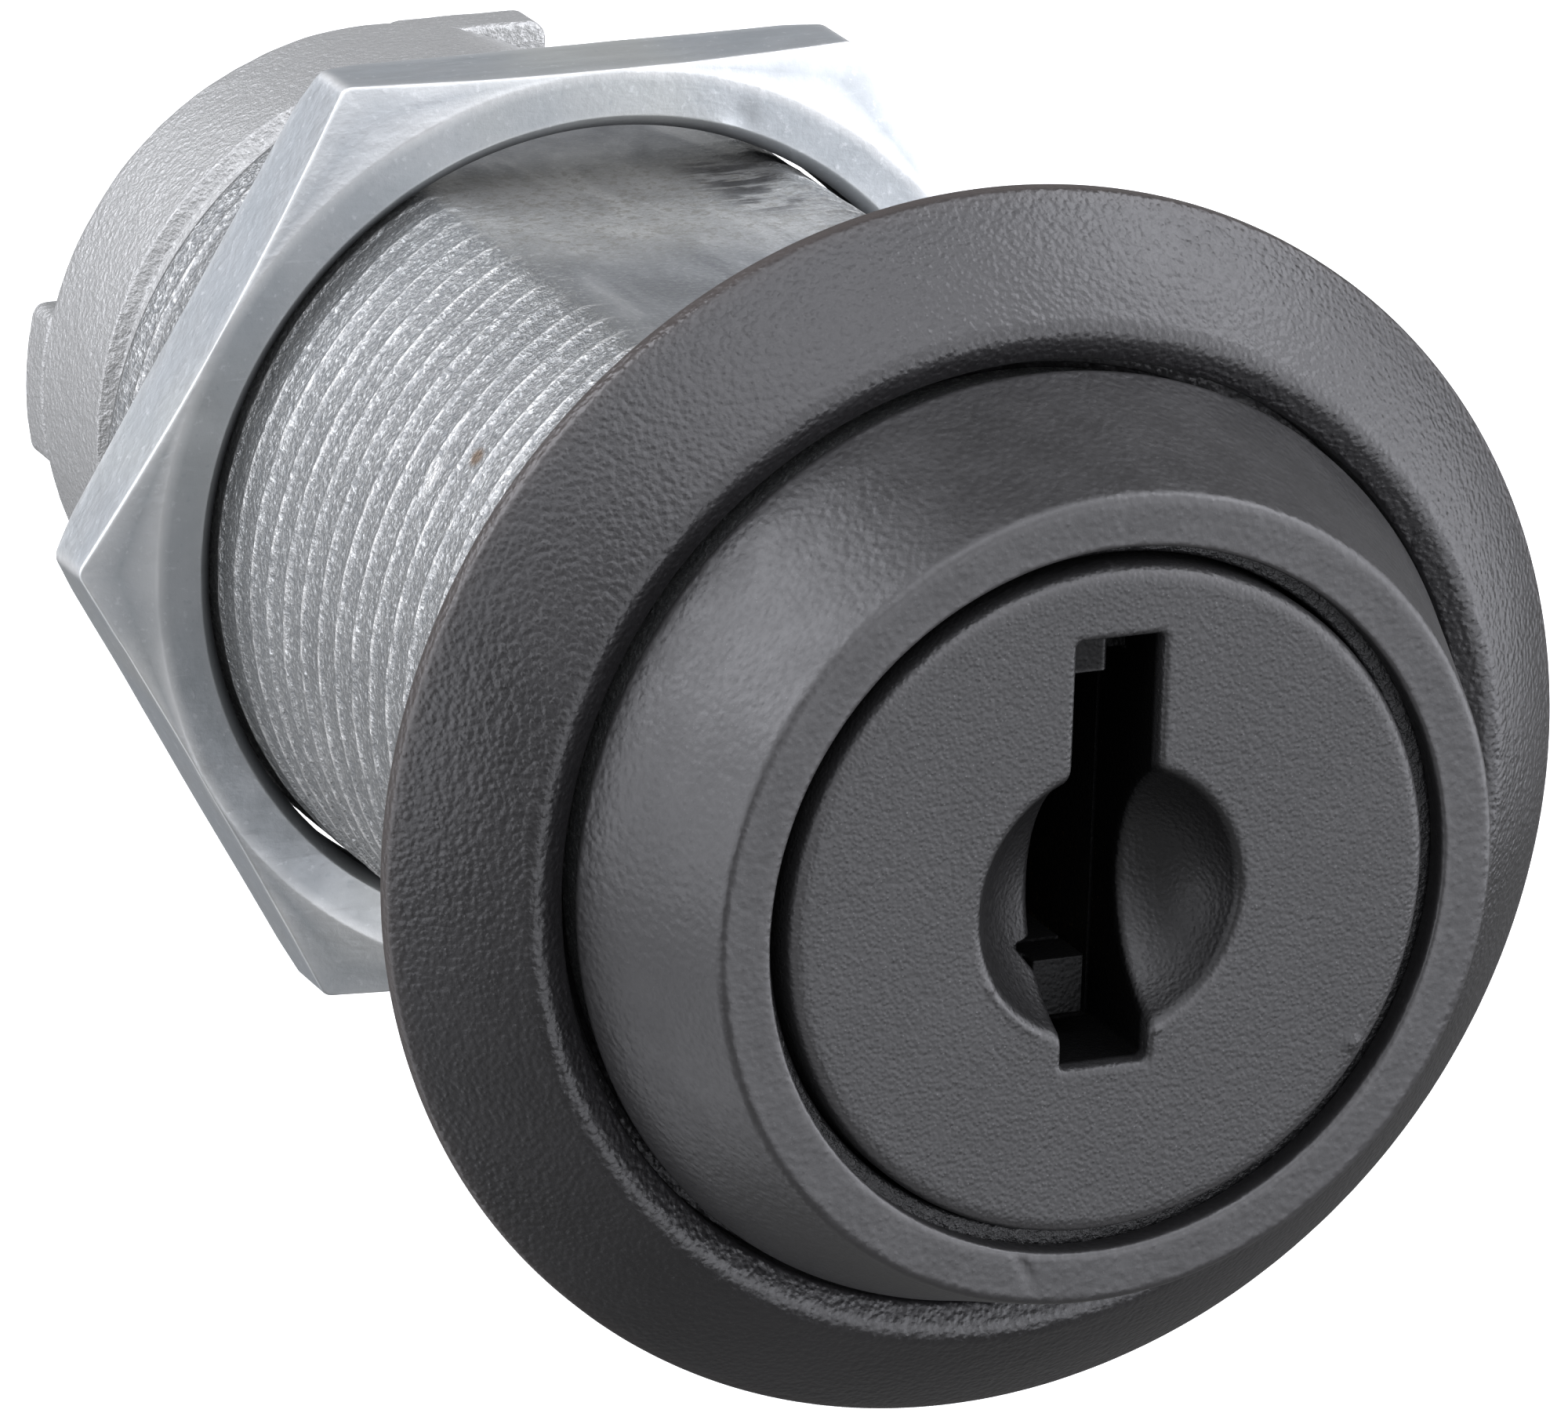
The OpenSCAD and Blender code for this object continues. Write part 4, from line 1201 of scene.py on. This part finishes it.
def lock_washer():
    """A ring with ten notches, whose teeth between them are twisted."""
    tooth = TAU / 10

    def distance(x, y, z):
        radius, angle = np.hypot(x, y), np.arctan2(y, x)
        ring = np.maximum(radius - 5.19, 2.2 - radius)
        off_notch = (angle / TAU * 10 - 0.25) % 1.0 - 0.5
        notch = np.maximum(np.abs(off_notch * tooth * radius) - 0.42, 4.0 - radius)
        ring = smooth_max(ring, -notch, 0.15)
        off_tooth = off_notch - 0.5 * np.sign(off_notch)
        twist = off_tooth * tooth * radius * 0.16 * step(3.7, 5.1, radius)
        thickness = (LOCK_WASHER_Z - 0.24, LOCK_WASHER_Z + 0.24)
        return slab(ring, z + twist, thickness, rounding=0.07) * 0.9

    plane = spaced((-5.4, 5.4, 0.11))
    plated_piece("lock_washer", distance, plane, plane,
                 spaced((LOCK_WASHER_Z - 0.5, LOCK_WASHER_Z + 0.5, 0.07)), edge_strength=0.7)


def cam_screw():
    """A screw with a domed head and a cross recess, driven in from the back."""
    seat, head_height, dome_radius = SCREW_SEAT, 2.3, 6.2
    top = seat - head_height
    shank_radius, shank_length, pitch = 1.99, 8.05, 0.7

    def distance(x, y, z):
        radius = np.hypot(x, y)
        dome = np.sqrt(x * x + y * y + (z - (top + dome_radius)) ** 2) - dome_radius
        head = smooth_max(smooth_max(radius - 3.88, dome, 0.9), z - seat, 0.15)
        # cross recess with tapering arms
        deep = z - top
        below = np.clip(deep, 0, 2)
        rising, falling = (x + y) * DIAGONAL, (x - y) * DIAGONAL

        def recess_arm(along, across):
            return np.maximum(np.abs(along) - 2.05 + 0.45 * below,
                              np.abs(across) - 0.42 + 0.12 * below)

        recess = smooth_min(recess_arm(rising, falling), recess_arm(falling, rising), 0.35)
        recess = np.maximum(recess, deep - 1.55)
        head = smooth_max(head, -recess, 0.12)
        turn = (z / pitch - np.arctan2(y, x) / TAU) % 1.0
        shank = radius - (shank_radius - 0.22 * np.abs(turn * 2 - 1))
        shank = smooth_max(shank * 0.75, z - (seat + shank_length), 0.5)
        shank = np.maximum(shank, seat - 0.5 - z)
        return smooth_min(head, shank, 0.05)

    plane = spaced((-4.1, 4.1, 0.11))
    zs = spaced((seat - 2.5, seat + 0.2, 0.1), (seat + 0.2, seat + 8.3, 0.13))
    plated_piece("cam_screw", distance, plane, plane, zs, edge_strength=0.7)


bezel_ring()
head_collar()
mounting_nut()
housing()
stop_lugs()
plug_head()
plug_body()
for i, cut in enumerate(WAFER_CUTS):
    wafer(i + 1, cut)
retaining_wafer()
for i in range(len(WAFER_CUTS)):
    spring("wafer_spring_%d" % (i + 1), WAFER_FRONT - WAFER_PITCH * i, turns=5)
spring("retaining_spring", RETAINER_Z, turns=6)
stop_washer()
cam()
lock_washer()
cam_screw()

# ------------------------------------------------------------------ studio, in metres

scene = bpy.context.scene
scene.view_settings.view_transform = "Standard"
scene.view_settings.look = "None"

CAMERA_PLACE = (-0.11746, -0.24370, 0.09308)
CAMERA_RIGHT = (0.91163, -0.40982, 0.03120)
CAMERA_UP = (0.10436, 0.30423, 0.94686)
CAMERA_BACK = (-0.39754, -0.85993, 0.32012)     # away from the lock
FLOOR_Z, FLOOR_HALF = -0.0236, 6.0
WHITE = (1, 1, 1, 1)

# name, direction in the front view (right, up, towards the key), power in watts
LIGHTS = (
    ("soft_00", (0.26, 0.26, 0.93), 0.30),
    ("soft_01", (-0.26, 0.26, 0.93), 0.35),
    ("soft_03", (0.26, -0.26, 0.93), 0.65),
    ("soft_04", (0.78, 0.00, 0.62), 0.95),
    ("soft_05", (0.49, 0.61, 0.62), 0.50),
    ("soft_06", (-0.17, 0.76, 0.62), 0.95),
    ("soft_11", (0.99, 0.00, 0.15), 0.90),
    ("soft_12", (0.70, 0.70, 0.15), 1.55),
    ("soft_13", (0.00, 0.99, 0.15), 0.60),
    ("soft_14", (-0.70, 0.70, 0.15), 0.60),
    ("soft_15", (-0.99, 0.00, 0.15), 0.75),
    ("soft_16", (-0.70, -0.70, 0.15), 0.10),
    ("soft_20", (-0.63, 0.63, -0.45), 1.50),
    ("soft_21", (-0.63, -0.63, -0.45), 0.35),
    ("soft_back_left", (-0.88, 0.08, -0.44), 0.75),
)
LIGHT_DISTANCE, LIGHT_SIZE = 0.5, 0.36
LIGHT_AIM = (0, 0.008, 0)
LIGHT_COLOUR = (0.97, 0.98, 1.05)


def view_camera():
    data = bpy.data.cameras.new("view_camera")
    ob = link_object("view_camera", data)
    data.sensor_fit = "HORIZONTAL"
    data.sensor_width = 36.0
    data.lens = 300.930
    data.shift_x = 0.00645
    data.shift_y = 0.00937
    data.clip_start, data.clip_end = 0.01, 20
    rows = zip(CAMERA_RIGHT, CAMERA_UP, CAMERA_BACK, CAMERA_PLACE)
    ob.matrix_world = Matrix([*rows, (0, 0, 0, 1)])
    scene.camera = ob


def camera_switch(tree, output, others, camera):
    """Show one shader to the camera and another to all other rays."""
    path = tree.nodes.new("ShaderNodeLightPath")
    mix = tree.nodes.new("ShaderNodeMixShader")
    tree.links.new(path.outputs["Is Camera Ray"], mix.inputs[0])
    tree.links.new(others.outputs[0], mix.inputs[1])
    tree.links.new(camera.outputs[0], mix.inputs[2])
    tree.links.new(mix.outputs[0], output.inputs[0])


def studio_floor():
    mesh = bpy.data.meshes.new("studio_floor")
    corners = ((-1, -1), (1, -1), (1, 1), (-1, 1))
    mesh.from_pydata([(x * FLOOR_HALF, y * FLOOR_HALF, FLOOR_Z) for x, y in corners],
                     [], [(0, 1, 2, 3)])
    ob = link_object("studio_floor", mesh)
    material = bpy.data.materials.new("studio_floor")
    material.use_nodes = True
    tree = material.node_tree
    tree.nodes.clear()
    output = tree.nodes.new("ShaderNodeOutputMaterial")
    pale = tree.nodes.new("ShaderNodeBsdfDiffuse")
    pale.inputs["Color"].default_value = (0.85, 0.85, 0.85, 1)
    glow = tree.nodes.new("ShaderNodeEmission")
    glow.inputs["Strength"].default_value = 0.55
    lit = tree.nodes.new("ShaderNodeAddShader")
    dim = tree.nodes.new("ShaderNodeBsdfDiffuse")
    dim.inputs["Color"].default_value = (0.16, 0.16, 0.165, 1)
    tree.links.new(pale.outputs[0], lit.inputs[0])
    tree.links.new(glow.outputs[0], lit.inputs[1])
    camera_switch(tree, output, others=dim, camera=lit)
    mesh.materials.append(material)
    # only the camera sees the floor, so that the lights below it still reach the lock
    ob.visible_diffuse = False
    ob.visible_glossy = False
    ob.visible_transmission = False
    ob.visible_shadow = False


def studio_world():
    world = bpy.data.worlds.new("studio")
    scene.world = world
    world.use_nodes = True
    tree = world.node_tree
    tree.nodes.clear()
    output = tree.nodes.new("ShaderNodeOutputWorld")
    backgrounds = []
    for strength in (0.20, 1.0):        # on the lock, and as the camera sees it
        background = tree.nodes.new("ShaderNodeBackground")
        background.inputs["Color"].default_value = WHITE
        background.inputs["Strength"].default_value = strength
        backgrounds.append(background)
    camera_switch(tree, output, others=backgrounds[0], camera=backgrounds[1])


def softbox(name, direction, power):
    data = bpy.data.lights.new(name, "AREA")
    data.shape = "RECTANGLE"
    data.size = data.size_y = LIGHT_SIZE
    data.energy = power
    data.color = LIGHT_COLOUR
    ob = link_object(name, data)
    right, up, towards_key = direction
    outwards = Vector((right, -towards_key, up)).normalized()
    ob.location = Vector(LIGHT_AIM) + outwards * LIGHT_DISTANCE
    ob.rotation_mode = "QUATERNION"
    ob.rotation_quaternion = (-outwards).to_track_quat("-Z", "Y")


view_camera()
studio_floor()
studio_world()
for name, direction, power in LIGHTS:
    softbox(name, direction, power)
